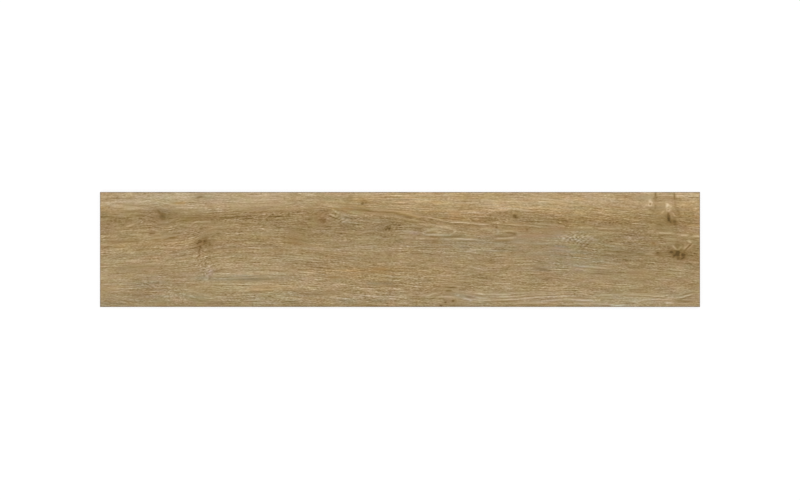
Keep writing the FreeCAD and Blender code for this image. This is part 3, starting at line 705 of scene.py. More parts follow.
    Mark("light dash over the curl", ((480, 293), (482, 294), (484.4, 294.6)), 0.6, 14),
    Mark("yellow line under the curl", ((473, 301.9), (477, 301.5), (481, 302)), 0.5, 10, -14, 6),
    Mark("light between the dark dashes", ((444.5, 289), (449, 289.1), (453.6, 289.6)), 0.5, 22),
    Mark("light line over the curl", ((448, 285.4), (453, 286.4), (460, 286.4)), 0.5, 20),
    Mark("dark line over the curl", ((448, 287.5), (452, 287.6), (456.4, 287.6)), 0.5, -24),
    Mark("bright curve right of the brown knot",
         ((327.6, 212.6), (331, 214.6), (335.6, 216.7)), 0.5, 20, -15),
    Mark("steep dash right of the brown knot", ((332, 208), (334, 210.4), (337, 212.6)), 0.55, 20),
    Mark("rising curve of the grey heart", ((337.6, 222.6), (341, 219.8), (345.4, 218.4)), 0.55, 24, -16),
    Mark("second curve of the grey heart", ((341, 223.4), (344.6, 221.2), (349, 219.8)), 0.5, 18),
    Mark("dark curve of the grey heart", ((334, 219.4), (337.4, 217.6), (341.6, 216.6)), 0.6, -20),
    Mark("light dash under the brown knot", ((330.6, 226), (334.6, 225.8), (338.4, 226.3)), 0.5, 20),
    Mark("light curve of the grey middle", ((372.6, 222.4), (375.6, 219.8), (379.6, 218)), 0.5, 22),
    Mark("loop under the grey middle", ((364.6, 239.6), (368.4, 238.2), (372, 238.9), (374.6, 241)), 0.5, 20),
    Mark("light line under the grey middle",
         ((355, 235.4), (361, 233.4), (368, 231.6), (374, 231.2)), 0.5, 16, -12),
    Mark("first dark line of the lower right", ((630, 290.2), (637, 289.9), (645.4, 290.1)), 0.55, -22),
    Mark("second dark line of the lower right", ((600, 296.6), (613, 296.9), (627, 296.7)), 0.5, -20),
    Mark("light line over the second dark line", ((598, 295), (611, 294.8), (630, 294.3)), 0.5, 18),
    Mark("white line of the lower right", ((652.6, 296.8), (659, 296.3), (667.4, 296.5)), 0.5, 24, -20),
    Mark("bright dash on the lower right edge", ((665, 303.2), (669, 302.9), (673.6, 303.1)), 0.55, 26),
    Mark("third dark line of the lower right", ((673, 300.6), (682, 301.2), (695, 302.2)), 0.5, -20),
    Mark("fourth dark line of the lower right", ((669.6, 299.2), (677, 299.4), (686, 298.6)), 0.5, -16),
    Mark("rising line at the right end",
         ((676.6, 298), (683, 297), (688, 295.4), (692.6, 293.6)), 0.5, 18, -16),
    Mark("upper rising line at the right end", ((674, 295.6), (681, 294.2), (687, 292.2)), 0.5, 14, -14),
    Mark("pale edge of the lower right", ((611, 305.2), (617, 305.4), (624, 305.3)), 0.5, 18),
    Mark("dark flank of the first knot", ((151.6, 207.6), (156, 209.8), (161, 213.4), (165, 217.6)), 1.2, -8),
    Mark("pink dash left of the first knot", ((124.4, 227.7), (129, 225.7), (135.4, 223.8)), 0.6, 26, -16, 2),
    Mark("orange dash of the sapwood", ((171.6, 204), (177, 203.4), (184.4, 202.3)), 0.7, -8, 0, 5),
    Mark("dark dash in the top sapwood", ((195.4, 198.3), (199.6, 196.9), (205.4, 196.4)), 0.6, -19),
    Mark("reddish line over the hooked knot", ((163.6, 239.9), (170, 238.4), (176.8, 237.2)), 0.5, -24, 0, 5),
    Mark("dark dash under the first knot", ((148.4, 234.5), (152, 233.5), (156.4, 232.9)), 0.55, -24),
    Mark("light line right of the first knot",
         ((190, 225.4), (194, 223), (200, 221.7), (210, 221.2)), 0.5, 20, -14),
    Mark("light arc right of the first knot", ((179.6, 214), (183.4, 211.8), (187.8, 213.6)), 0.5, 20),
    Mark("dark line right of the first knot",
         ((183, 217.6), (190, 218.4), (200, 217.2), (214, 216.6)), 0.7, -5),
)
PAINTED_SHADOW_DROP = 1.35  # pixels from a line to the painted shadow under it
CALM_REACH, CALM_SHARE = 2.4, 0.6  # pixels beside a thin line where the grain steps back, and by how much
THIN_LINE = 1.2  # pixels of half width, below which a line is thin
MARK_REACH = 10  # pixels beyond a line's ends where it still counts
BREAKS = (13 * MM, 7 * MM, 0.3)  # length and width of the breaks in a line, and how much of it they take
WOBBLE = (11 * MM, 7 * MM, 0.35)  # length and width of a line's small bends, and their height in pixels
FADE_SHARE = 0.2  # share of a line, at each end, over which it fades
FADE_LEAST = 0.4  # what is left of a line at its very ends, while its furrow fades out
WARM_SPREAD = 1.5  # how much wider a line's warmth is than its tone
CURVE_STEPS = 5  # pieces of a line from point to point


def column_span(mark):
    """The first and the last column that a mark's points reach."""
    columns = [column for column, _ in mark.points]
    return min(columns), max(columns)


def distance_to(points, x, y):
    """Distance to a curve, in pixels, and the share of the way along it, both at its nearest piece."""
    curve_x, curve_y = from_photo(*smooth_curve(points, CURVE_STEPS).T)
    nearest, along = np.full(np.shape(x), np.inf), np.zeros(np.shape(x))
    for k in range(len(curve_x) - 1):
        step_x, step_y = curve_x[k + 1] - curve_x[k], curve_y[k + 1] - curve_y[k]
        t = ((x - curve_x[k]) * step_x + (y - curve_y[k]) * step_y) / (step_x**2 + step_y**2)
        t = np.clip(t, 0, 1)
        distance = np.hypot(x - curve_x[k] - t * step_x, y - curve_y[k] - t * step_y)
        closer = distance < nearest
        nearest = np.where(closer, distance, nearest)
        along = np.where(closer, (k + t) / (len(curve_x) - 1), along)
    return nearest / PIXEL, along


def faded(along, least):
    """A line's strength on its way: the least at its ends, then straight up to 1 over the fade's share."""
    return np.clip(np.minimum(along, 1 - along) / FADE_SHARE, least, 1)


def mark_fields(x, y):
    """Tone, warmth, depth and contrast of the marks: bells of the distance, fainter at ends and breaks.

    The painted shadow under a line is the same curve, lower down. Contrast is 1 less a wider bell, so that
    the grain calms beside a thin line.
    """
    tone, warmth, depth = np.zeros((3, *np.shape(x)))
    contrast = np.ones(np.shape(x))
    whole = 1 + BREAKS[2] * lattice_noise(x, y, *BREAKS[:2], seed=61)
    y = y + WOBBLE[2] * PIXEL * lattice_noise(x, y, *WOBBLE[:2], seed=62)
    for mark in MARKS:
        first, last = from_photo(column_span(mark), 0)[0]
        near = np.abs(x[0] - (first + last) / 2) < (last - first) / 2 + MARK_REACH * PIXEL
        part_x, part_y, part_whole = x[:, near], y[:, near], whole[:, near]
        distance, along = distance_to(mark.points, part_x, part_y)
        strength = faded(along, FADE_LEAST) * part_whole
        shape = bell(distance / mark.half_width) * strength
        tone[:, near] += mark.tone * shape
        warmth[:, near] += mark.warmth * bell(distance / (WARM_SPREAD * mark.half_width))
        depth[:, near] += mark.depth * MM * shape
        if mark.half_width < THIN_LINE:
            calm = CALM_SHARE * bell(distance / CALM_REACH) * strength
            contrast[:, near] = np.minimum(contrast[:, near], 1 - calm)
        # painted shadow: the line's curve again, a little lower, darkened where a raised line would throw
        # shade
        if mark.under:
            lower, along = distance_to(mark.points, part_x, part_y + PAINTED_SHADOW_DROP * PIXEL)
            tone[:, near] += mark.under * bell(lower / mark.half_width) * faded(along, 0) * part_whole
    return tone, warmth, depth, contrast


print(f"{len(MARKS)} lines and cracks")

# %% [markdown]
# ## Knots and flecks
#
# A knot is a branch that the saw cut through, so it is darker than the board, ragged and broken up. Its
# tone falls from a heart to a soft halo, over a distance that noise roughens. Flecks are patches where pale
# filler sits in a mesh of pores. They are waves along and across the board, pushed about by noise.

# %% Tone of knots and flecks
class Fleck(NamedTuple):
    """A flecked patch in photo pixels: middle, half sizes, tone of its flecks, and how regular they are."""

    name: str
    column: float
    row: float
    half_length: float
    half_width: float
    tone: float
    order: float = 0.2  # 0 is irregular, 1 an even mesh


FLECKS = (
    Fleck("mesh of the limed patch", 576, 238.4, 12.5, 3.4, 43, 0.75),
    Fleck("lower mesh of the limed patch", 584, 245.5, 6, 2.2, 22, 0.6),
    Fleck("flecks right of it", 600, 239, 10, 3, 10),
    Fleck("flecks over the dark band", 632, 235.5, 9, 6, 25),
    Fleck("flecks below the leaning knot", 206, 266, 5, 15, 32),
    Fleck("star of flecks below the crack", 197.4, 256, 4, 3.5, 28),
    Fleck("flecks in the grey lower left", 150, 285, 14, 3.5, 21),
    Fleck("flecks lower left", 176, 295, 13, 7, 25),
    Fleck("flecks in the dark band", 140, 222.5, 4, 3, 18),
    Fleck("flecks at the top", 556, 213.5, 4, 5, 15),
    Fleck("flecks by the brown knot", 340, 218, 12, 5, 24, 0.5),
    Fleck("flecks of the dark blot", 388, 228, 6, 3, 26),
    Fleck("flecks left of the middle", 393, 247, 8, 4, 14),
    Fleck("flecks under the dark tail", 683, 226, 5, 3.5, 16),
    Fleck("flecks left of the big knot", 658, 256.5, 3, 2.5, 12),
    Fleck("flecks left of the first knot", 152, 212.5, 5, 3.5, 15),
    Fleck("loops left of the first knot", 139.5, 222, 4, 3, 15),
)
FLECK_SIZE = (5.4, 4.2)  # pixels from fleck to fleck, along and across
FLECK_SHIFT = (9 * MM, 6 * MM)  # length and width of the noise that pushes flecks about
FLECK_WANDER = 1.1  # how many flecks far it pushes them in a patch without order
KNOT_EDGES = (  # length, width, strength in half sizes and seed of the noises that roughen a knot's edge
    (5 * MM, 3 * MM, 0.35, 21),
    (3 * MM, 2 * MM, 0.2, 22),
)
KNOT_MOTTLE = (4 * MM, 2.4 * MM, 0.3, 23)  # the same for the mottling of its heart, as a share of its tone
HEART_FULL, HEART_FADE = 0.4, 0.9  # half sizes over which a heart is full, and over which it then fades
HEART_SHARE, HALO_SHARE = 0.85, 0.25  # of a knot's tone
HALO_SIZE, CALM_SIZE = 1.6, 1.3  # half sizes over which the halo fades, and the hiding of the grain
KNOT_DISH, DISH_TONE = 0.25 * MM, 40  # how deep a knot is pressed that is so many levels dark
KNOT_CALM, CALM_TONE = 0.7, 20  # the share of the grain that a knot of so many levels hides


def knot_fields(x, y):
    """Tone and depth of the knots, a mottled heart in a soft halo, and how much of the grain runs over them.

    All three fall off with q, the distance from a knot's middle in half sizes, with noise added.
    """
    rough = noise_sum(x, y, KNOT_EDGES)
    mottle = 1 + noise_sum(x, y, [KNOT_MOTTLE])
    tone, depth = np.zeros((2, *np.shape(x)))
    grain = np.ones(np.shape(x))
    for knot in KNOTS:
        q = np.maximum(np.hypot(*knot_coordinates(knot, x, y)) + rough, 0)
        heart = 1 - ease(np.clip((q - HEART_FULL) / HEART_FADE, 0, 1))
        tone += knot.tone * (HEART_SHARE * heart * mottle + HALO_SHARE * bell(q / HALO_SIZE))
        depth += KNOT_DISH * heart * np.clip(-knot.tone / DISH_TONE, 0, 1)
        grain *= 1 - KNOT_CALM * bell(q / CALM_SIZE) * np.clip(abs(knot.tone) / CALM_TONE, 0, 1)
    return tone, depth, grain


def fleck_tone(x, y):
    """Tone of the flecks, a mesh: a wave along times a wave across, both shifted by noise, under a bell."""
    shift_along = lattice_noise(x, y, *FLECK_SHIFT, seed=41)
    shift_across = lattice_noise(x, y, *FLECK_SHIFT, seed=42)
    tone = np.zeros(np.shape(x))
    for fleck in FLECKS:
        middle_x, middle_y = from_photo(fleck.column, fleck.row)
        u, v = (x - middle_x) / PIXEL, (y - middle_y) / PIXEL
        wander = FLECK_WANDER - fleck.order
        wave_along = np.cos(2 * np.pi * (u / FLECK_SIZE[0] + wander * shift_along))
        wave_across = np.cos(2 * np.pi * (v / FLECK_SIZE[1] + wander * shift_across))
        patch = bell(np.hypot(u / fleck.half_length, v / fleck.half_width))
        tone = tone + fleck.tone * patch * wave_along * wave_across
    return tone


print(f"{len(FLECKS)} flecked patches")

# %% [markdown]
# ## The pressed face
#
# A structured tile is pressed by a punch that carries the grain, so the relief belongs in the mesh: fine
# furrows along the fibres, shallow dishes at the knots, cracks. A height field does it, a grid whose
# columns stand closer together where knots and cracks need them. Across the fibres the rows are 1.2 mm
# apart everywhere.

# %% Columns, rows and heights of the face
FACE_BEVEL = 0.8 * MM  # the micro-bevel of the part, on each leg
BACK_ARRIS = 1.0 * MM  # the arris round the back, on each leg
EDGE_SOFTNESS = 0.12 * MM  # how much of each ground corner is worn round
ROW_COUNT = 192
WIDE_COLUMN, NARROW_COLUMN = 5.6 * MM, 1.9 * MM  # spacing on plain board and at a knot, a crack or a fleck
SHORT_MARK = 5  # pixels: a mark shorter than this needs narrow columns
SPOT_MARGIN = 1.5  # pixels of narrow columns on each side of a knot or a short mark
DENSITY_SAMPLES = 6000  # places where the density of the columns is worked out


def column_places(half):
    """Columns from -half to half, spaced by the inverse of a density that peaks at knots and the like.

    A peak is exp(-u⁴/2), a bell with a flat top, where u is the distance to a spot over its reach. The
    density, added up along the tile, counts the columns.
    """
    fine = np.linspace(-half, half, DENSITY_SAMPLES)
    spots = [(knot.column, knot.half_length + SPOT_MARGIN) for knot in KNOTS if knot.tone]
    spots += [(fleck.column, fleck.half_length) for fleck in FLECKS]
    for first, last in map(column_span, MARKS):
        if last - first < SHORT_MARK:
            spots.append(((first + last) / 2, (last - first) / 2 + SPOT_MARGIN))
    closeness = np.zeros_like(fine)
    for column, reach in spots:
        u = (fine - from_photo(column, 0)[0]) / (reach * PIXEL)
        closeness = np.maximum(closeness, bell(u**2))
    density = 1 / WIDE_COLUMN + closeness * (1 / NARROW_COLUMN - 1 / WIDE_COLUMN)
    count = np.concatenate([[0], np.cumsum((density[1:] + density[:-1]) / 2 * np.diff(fine))])
    return np.interp(np.linspace(0, count[-1], int(count[-1]) + 1), count, fine)


FACE_INSET = FACE_BEVEL + EDGE_SOFTNESS
face_columns = column_places(LENGTH / 2 - FACE_INSET)
face_rows = np.linspace(-1, 1, ROW_COUNT) * (WIDTH / 2 - FACE_INSET)
FACE_X, FACE_Y = np.meshgrid(face_columns, face_rows)
FIBRES = fibre_height(FACE_X, FACE_Y)
print(f"face grid {len(face_columns)} columns by {ROW_COUNT} rows")

# %% Print fields and relief of the face
FURROW = (45 * MM, 2.6 * MM, 0.11 * MM)  # length, width and depth of the pressed grain
SWELL = (120 * MM, 9 * MM, 0.10 * MM)  # the same for the broad ridges under it
# Length, width, strength and seed of noises: streaks in a stroke's warmth, and levels over the whole board.
WARM_STREAKS = (40 * MM, 3 * MM, 0.8, 53)
WARM_DRIFT = ((70 * MM, 9 * MM, 2.2, 51), (18 * MM, 9 * MM, 3.0, 54))
BLUSH_DRIFT = ((60 * MM, 20 * MM, 1.0, 52), (16 * MM, 9 * MM, 2.2, 55))
WARM_GAIN, WARM_BASE = 1.1, -1.4  # levels for each level of strokes and marks, and without any

stroke_tone, stroke_warmth, stroke_calm, stroke_blush = stroke_fields(FACE_X, FACE_Y, FIBRES)
mark_tone, mark_warmth, mark_depth, mark_contrast = mark_fields(FACE_X, FACE_Y)
knot_tone, knot_depth, knot_grain = knot_fields(FACE_X, FACE_Y)
TONE = stroke_tone + mark_tone + knot_tone + fleck_tone(FACE_X, FACE_Y)
CONTRAST = mark_contrast * (1 - stroke_calm) * knot_grain
warm_marks = stroke_warmth * (1 + noise_sum(FACE_X, FIBRES, [WARM_STREAKS])) + mark_warmth
WARMTH = WARM_GAIN * warm_marks + WARM_BASE + noise_sum(FACE_X, FIBRES, WARM_DRIFT)
BLUSH = stroke_blush + noise_sum(FACE_X, FIBRES, BLUSH_DRIFT)
furrows = np.abs(lattice_noise(FACE_X, FIBRES, *FURROW[:2], seed=31)) * FURROW[2]
swells = (0.5 + 0.5 * lattice_noise(FACE_X, FIBRES, *SWELL[:2], seed=32)) * SWELL[2]
DEPTH = furrows + swells + knot_depth + mark_depth
DEPTH = DEPTH - DEPTH.min()
FACE_Z = THICKNESS - DEPTH
print(f"relief up to {DEPTH.max() / MM:.2f} mm, tone {TONE.min():.0f} to {TONE.max():.0f}")

# %% [markdown]
# ## Sides and back
#
# The sides are one profile carried round the edge of the face: micro-bevel, ground side, arris. Each ring
# of the profile is the edge of the face stretched to that ring's inset, so corners stay mitred. The back is
# a grid of its own with four lines to a cell: mouth, floor, floor, mouth.

# %% The ground profile, as rings round the face
def ground_profile():
    """Inset and height of each ring from the face down to the back, each corner cut by the softness."""
    corners = np.array([
        (FACE_BEVEL, THICKNESS),
        (0, THICKNESS - FACE_BEVEL),
        (0, BACK_ARRIS),
        (BACK_ARRIS, 0),
    ])
    before = np.vstack([corners[0] + (1, 0), corners[:-1]])
    after = np.vstack([corners[1:], corners[-1] + (1, 0)])
    back = (before - corners) / np.linalg.norm(before - corners, axis=1, keepdims=True)
    ahead = (after - corners) / np.linalg.norm(after - corners, axis=1, keepdims=True)
    rings = np.stack([corners + EDGE_SOFTNESS * back, corners + EDGE_SOFTNESS * ahead], axis=1)
    return rings.reshape(-1, 2)


def edge_loop(rows, columns):
    """Indices of a grid's border, anticlockwise from its low corner. The grid is counted row by row."""
    grid = np.arange(rows * columns).reshape(rows, columns)
    return np.concatenate([grid[0, :-1], grid[:-1, -1], grid[-1, :0:-1], grid[:0:-1, 0]])


PROFILE = ground_profile()
face_loop = edge_loop(*FACE_X.shape)
face_points = np.stack([FACE_X, FACE_Y, FACE_Z], axis=-1).reshape(-1, 3)
half_size = np.array([LENGTH / 2, WIDTH / 2])
rings = []
for inset, height in PROFILE[1:]:
    stretch = (half_size - inset) / (half_size - FACE_INSET)
    level = np.full(len(face_loop), height)
    rings.append(np.column_stack([face_points[face_loop, :2] * stretch, level]))
ring_points = np.vstack(rings)
print(f"{len(PROFILE)} rings of {len(face_loop)} points")

# %% The ribbed back
CELL_LENGTH, CELL_WIDTH = 33 * MM, 32 * MM  # mouth of a cell, along and across the plank
RIB_WIDTH = 4 * MM
RECESS_DEPTH = 0.6 * MM  # with a draft of 45 degrees, the floor is this much smaller on each side


def cell_lines(size, cell):
    """Places of the cells' lines from end to end, and whether each is on the floor: a row of equal cells."""
    pitch = cell + RIB_WIDTH
    count = 2 * int((size - RIB_WIDTH) / 2 / pitch)
    starts = (np.arange(count) - count / 2) * pitch + RIB_WIDTH / 2
    steps = np.array([0, RECESS_DEPTH, cell - RECESS_DEPTH, cell])
    floor = np.tile([0, 1, 1, 0], count)
    return (starts[:, None] + steps).ravel(), floor


cell_x, floor_x = cell_lines(LENGTH, CELL_LENGTH)
cell_y, floor_y = cell_lines(WIDTH, CELL_WIDTH)
BACK_X, BACK_Y = np.meshgrid(cell_x, cell_y)
BACK_Z = RECESS_DEPTH * floor_y[:, None] * floor_x[None, :]
back_points = np.stack([BACK_X, BACK_Y, BACK_Z], axis=-1).reshape(-1, 3)
print(f"back of {len(cell_x) // 4} by {len(cell_y) // 4} cells")

# %% Faces that join the patches
def grid_quads(rows, columns, start):
    """Quads of a grid, anticlockwise from above: a point with its right, upper right and upper neighbour."""
    grid = np.arange(rows * columns).reshape(rows, columns) + start
    corners = (grid[:-1, :-1], grid[:-1, 1:], grid[1:, 1:], grid[1:, :-1])
    return np.stack(corners, axis=-1).reshape(-1, 4)


def ring_quads(loops):
    """Quads between neighbouring loops of one length: a point, the one outside it, and their next ones."""
    upper, lower = loops[:-1], loops[1:]
    corners = (upper, lower, np.roll(lower, -1, axis=1), np.roll(upper, -1, axis=1))
    return np.stack(corners, axis=-1).reshape(-1, 4)


def stitch(outer, outer_share, inner, inner_share):
    """Triangles between two rows of points that have different counts.

    Walking along both rows by their share of the way, from 0 to 1, the row whose next point comes first
    moves on, and makes a triangle with the point where the other row stands.
    """
    stands_inner = np.searchsorted(inner_share[1:], outer_share[1:], side="left")
    stands_outer = np.searchsorted(outer_share[1:], inner_share[1:], side="right")
    from_outer = np.column_stack([outer[:-1], inner[stands_inner], outer[1:]])
    from_inner = np.column_stack([inner[:-1], inner[1:], outer[stands_outer]])
    return np.vstack([from_outer, from_inner])


def loop_sides(loop, rows, columns):
    """The four sides of a grid's border loop, corner to corner."""
    closed = np.append(loop, loop[0])
    ends = np.cumsum([0, columns - 1, rows - 1, columns - 1, rows - 1])
    return [closed[a:b + 1] for a, b in zip(ends, ends[1:])]


def share_along(points):
    """How far each point of a straight row lies from its first to its last, from 0 to 1."""
    distance = np.linalg.norm(points - points[0], axis=1)
    return distance / distance[-1]


POINTS = np.vstack([face_points, ring_points, back_points])
ring_start = len(face_points)
back_start = ring_start + len(ring_points)
loops = [face_loop] + [ring_start + k * len(face_loop) + np.arange(len(face_loop)) for k in range(len(rings))]
face_quads = grid_quads(*FACE_X.shape, 0)
side_quads = ring_quads(np.array(loops))
back_quads = grid_quads(*BACK_X.shape, back_start)[:, ::-1]
rim_triangles = []
outer_sides = loop_sides(loops[-1], *FACE_X.shape)
inner_sides = loop_sides(back_start + edge_loop(*BACK_X.shape), *BACK_X.shape)
for outer, inner in zip(outer_sides, inner_sides):
    rim_triangles.append(stitch(outer, share_along(POINTS[outer]), inner, share_along(POINTS[inner])))
rim_triangles = np.vstack(rim_triangles)
triangle_count = 2 * (len(face_quads) + len(side_quads) + len(back_quads)) + len(rim_triangles)
print(f"{triangle_count} triangles")

# %% [markdown]
# ## One closed mesh
#
# The patches share their border points, so the tile is one watertight mesh, as the real one is one piece.
# The face is shaded smooth and the ground sides and the back flat. The print's fields go into the mesh as
# point attributes, where the material reads them. A map of its own gives the face most of a texture,
# stretched across the grain, because that is where the fine detail is.

# %% Put the arrays into a mesh
FACE_SLOT, BODY_SLOT = 0, 1
GRAIN_LEAN = (0.03, 0.6)  # lean of the noise's third axis along and across the fibres


def tile_mesh(name):
    """A mesh from the points and the faces: all corners in one row, and where each face starts in it."""
    mesh = bpy.data.meshes.new(name)
    quads = np.vstack([face_quads, side_quads, back_quads])
    corners = np.concatenate([quads.ravel(), rim_triangles.ravel()])
    sizes = np.concatenate([np.full(len(quads), 4), np.full(len(rim_triangles), 3)])
    mesh.vertices.add(len(POINTS))
    mesh.vertices.foreach_set("co", POINTS.astype(np.float32).ravel())
    mesh.loops.add(len(corners))
    mesh.loops.foreach_set("vertex_index", corners.astype(np.int32))
    mesh.polygons.add(len(sizes))
    mesh.polygons.foreach_set("loop_start", (np.cumsum(sizes) - sizes).astype(np.int32))
    on_face = np.arange(len(sizes)) < len(face_quads)
    mesh.polygons.foreach_set("use_smooth", on_face)
    mesh.polygons.foreach_set("material_index", np.where(on_face, FACE_SLOT, BODY_SLOT).astype(np.int32))
    mesh.update(calc_edges=True)
    return mesh


def store(mesh, name, kind, values):
    """A value for every point of the mesh: the face's own, and zero on the sides and the back."""
    width = 3 if kind == "FLOAT_VECTOR" else 1
    padded = np.zeros((len(POINTS), width), np.float32)
    padded[:len(face_points)] = values.reshape(-1, width)
    attribute = mesh.attributes.new(name, kind, "POINT")
    attribute.data.foreach_set("vector" if width == 3 else "value", padded.ravel())


tile = bpy.data.objects.new("finished_plank_tile", tile_mesh("finished_plank_tile"))
bpy.context.scene.collection.objects.link(tile)
grain = np.stack([FACE_X, FIBRES, GRAIN_LEAN[0] * FACE_X + GRAIN_LEAN[1] * FIBRES], axis=-1)
store(tile.data, "grain", "FLOAT_VECTOR", grain)
for name, field in (("tone", TONE), ("warmth", WARMTH), ("blush", BLUSH), ("contrast", CONTRAST)):
    store(tile.data, name, "FLOAT", field)
print(f"mesh of {len(tile.data.vertices)} points and {len(tile.data.polygons)} faces")

# %% A map that gives the face most of a texture
MAP_FACE = (0.004, 0.300, 0.996, 0.996)  # low and high corner of each patch's place in the map
MAP_SIDES = (
    (0.004, 0.262, 0.996, 0.290),
    (0.004, 0.202, 0.490, 0.220),
    (0.004, 0.230, 0.996, 0.258),
    (0.510, 0.202, 0.996, 0.220),
)
MAP_BACK = (0.004, 0.004, 0.996, 0.190)


def into_place(u, v, place):
    """Shares u and v, from 0 to 1, of a place in the map."""
    low_u, low_v, high_u, high_v = place
    return np.stack([low_u + u * (high_u - low_u), low_v + v * (high_v - low_v)], axis=-1)


def bake_map():
    """Map places of all corners: x and y on the face and the back, way along and ring number on the sides."""
    x_share = POINTS[:, 0] / LENGTH + 0.5
    y_share = POINTS[:, 1] / WIDTH + 0.5
    face = into_place(x_share[face_quads], y_share[face_quads], MAP_FACE)
    ring = np.linspace(1, 0, len(PROFILE))
    v = np.stack([ring[:-1], ring[1:], ring[1:], ring[:-1]], axis=-1)[:, None, :]
    sides = []
    for side, place in zip(outer_sides, MAP_SIDES):
        way = share_along(POINTS[side])
        u = np.stack([way[:-1], way[:-1], way[1:], way[1:]], axis=-1)[None, :, :]
        sides.append(into_place(*np.broadcast_arrays(u, v), place))
    sides = np.concatenate(sides, axis=1)
    back = into_place(x_share[back_quads], y_share[back_quads], MAP_BACK)
    rim = into_place(x_share[rim_triangles], y_share[rim_triangles], MAP_BACK)
    return np.vstack([part.reshape(-1, 2) for part in (face, sides, back, rim)])


layer = tile.data.uv_layers.new(name="OFBake")
layer.data.foreach_set("uv", bake_map().astype(np.float32).ravel())
tile.data.validate()
print("map places", len(layer.data))

# %% [markdown]
# ## Node helpers
#
# A material is a tree of nodes. Written out one by one the trees are long, so a few helpers add a node, set
# what is fixed and link what is not.

# %% Short ways to add nodes
def srgb(red, green, blue):
    """A colour as it is seen on a screen, 0 to 255, made linear: ((c + 0.055) / 1.055) to the power 2.4."""
    c = np.array([red, green, blue]) / 255
    linear = np.where(c <= 0.04045, c / 12.92, ((c + 0.055) / 1.055) ** 2.4)
    return (*linear, 1.0)


def feed(tree, socket, value):
    """Links an output to a socket, or sets the socket if the value is a number, a vector or a colour."""
    if isinstance(value, bpy.types.NodeSocket):
        tree.links.new(value, socket)
    else:
        socket.default_value = value


def add_node(tree, kind, settings=None, **inputs):
    """A node of this kind with its settings and inputs. Input names are written with _ for a space."""
    node = tree.nodes.new(kind)
    for name, value in (settings or {}).items():
        setattr(node, name, value)
    for name, value in inputs.items():
        feed(tree, node.inputs[name.replace("_", " ")], value)
    return node


def maths(tree, operation, *values, clamp=False):
    """The result of one sum on numbers."""
    node = add_node(tree, "ShaderNodeMath", {"operation": operation, "use_clamp": clamp})
    for socket, value in zip(node.inputs, values):
        feed(tree, socket, value)
    return node.outputs[0]


def stretched(tree, vector, scale):
    """A vector times another, to stretch a texture."""
    node = add_node(tree, "ShaderNodeVectorMath", {"operation": "MULTIPLY"})
    feed(tree, node.inputs[0], vector)
    feed(tree, node.inputs[1], scale)
    return node.outputs[0]


def noise(tree, place, scale, **inputs):
    """Blender's noise from 0 to 1, at a place times a scale."""
    return add_node(tree, "ShaderNodeTexNoise", Vector=place, Scale=scale, **inputs).outputs[0]


def noise_about_zero(tree, vector, along, across, detail=2.0, roughness=0.55, curl=0.0):
    """Blender's noise from about -0.5 to 0.5, with cells of along by across metres."""
    cells = stretched(tree, vector, (1 / along, 1 / across, 1 / across))
    values = noise(tree, cells, 1.0, Detail=detail, Roughness=roughness, Distortion=curl)
    return maths(tree, "SUBTRACT", values, 0.5)


def colour_ramp(tree, share, colours):
    """The colour at a share of a ramp, whose colours have a place, 0 to 1, and their red, green and blue."""
    ramp = add_node(tree, "ShaderNodeValToRGB", Fac=share)
    stops = ramp.color_ramp.elements
    while len(stops) < len(colours):
        stops.new(0.5)
    for stop, (position, colour) in zip(stops, colours):
        stop.position = position
        stop.color = srgb(*colour)
    return ramp.outputs[0]


def empty_tree(owner):
    """The node tree of a material or a world, with nothing in it."""
    owner.use_nodes = True
    owner.node_tree.nodes.clear()
    return owner.node_tree


def fresh_material(name):
    """A material, its tree, and the Principled shader that is linked to its output."""
    material = bpy.data.materials.new(name)
    tree = empty_tree(material)
    shader = add_node(tree, "ShaderNodeBsdfPrincipled")
    add_node(tree, "ShaderNodeOutputMaterial", Surface=shader.outputs[0])
    return material, tree, shader


print("helpers ready")

# %% [markdown]
# ## The printed oak glaze
#
# The print of a real tile is a scan of a board. Here it is made up of the fields in the mesh and of noise
# drawn out along the fibres: short dashes, long streaks, fine pores. They add up to one tone, which picks a
# colour from a ramp of the oak's own colours, from the dark of a knot to limed white. Warmth then tips the
# colour towards orange or grey, and blush towards pink or green. The same noise dents the glaze, so print
# and relief agree.

# %% Oak print under a matt glaze
# Tone in levels from the middle, and the colour there, a little deeper than it looks under the sheen.
OAK_COLOURS = (
    (-64, (86, 64, 20)),
    (-33, (124, 98, 52)),
    (-8, (149, 125, 84)),
    (8, (165, 141, 101)),
    (29, (187, 164, 127)),
    (64, (222, 203, 170)),
)
TONE_SPAN = 128  # levels from one end of the ramp to the other
# Length, width and levels of each kind of line in the grain.
PORES = (6 * MM, 0.5 * MM, 46)
DASHES = (4.5 * MM, 1.5 * MM, 86)
SHORT_LINES = (17 * MM, 1.5 * MM, 46)
FIBRE_LINES = (38 * MM, 1.5 * MM, 40)
LONG_LINES = (120 * MM, 1.7 * MM, 76)
STREAKS = (240 * MM, 6 * MM, 10)
QUIET = 0.05  # noise below this leaves no dash and no long line
CURL = 0.4  # how much dashes and short lines curl, in their own lengths
PATCHES = (55 * MM, 10 * MM)  # length and width of the patches where the grain is stronger or weaker
PATCH_SHARE = 1.0  # how much a patch changes the grain
WARM_TILT = (0.0073, 0.0, -0.0131)  # share of red, green and blue gained for each level of warmth
BLUSH_TILT = (0.0049, -0.0117, 0.0087)  # and for each level of blush
GLAZE_ROUGHNESS, GRAIN_ROUGHNESS = 0.55, -0.004  # of plain glaze, and more for each level of the grain
GLAZE_DENT, DENT_STRENGTH = 0.004 * MM, 0.3  # depth for each level of the grain, and how much of it shows
GLAZE_SHEEN = 0.25  # specular level of a matt glaze


def oak_colour(tree, tone):
    """The oak's colour for a tone: the tone's share of the span picks it from the ramp."""
    share = maths(tree, "MULTIPLY_ADD", tone, 1 / TONE_SPAN, 0.5, clamp=True)
    return colour_ramp(tree, share, [(level / TONE_SPAN + 0.5, colour) for level, colour in OAK_COLOURS])


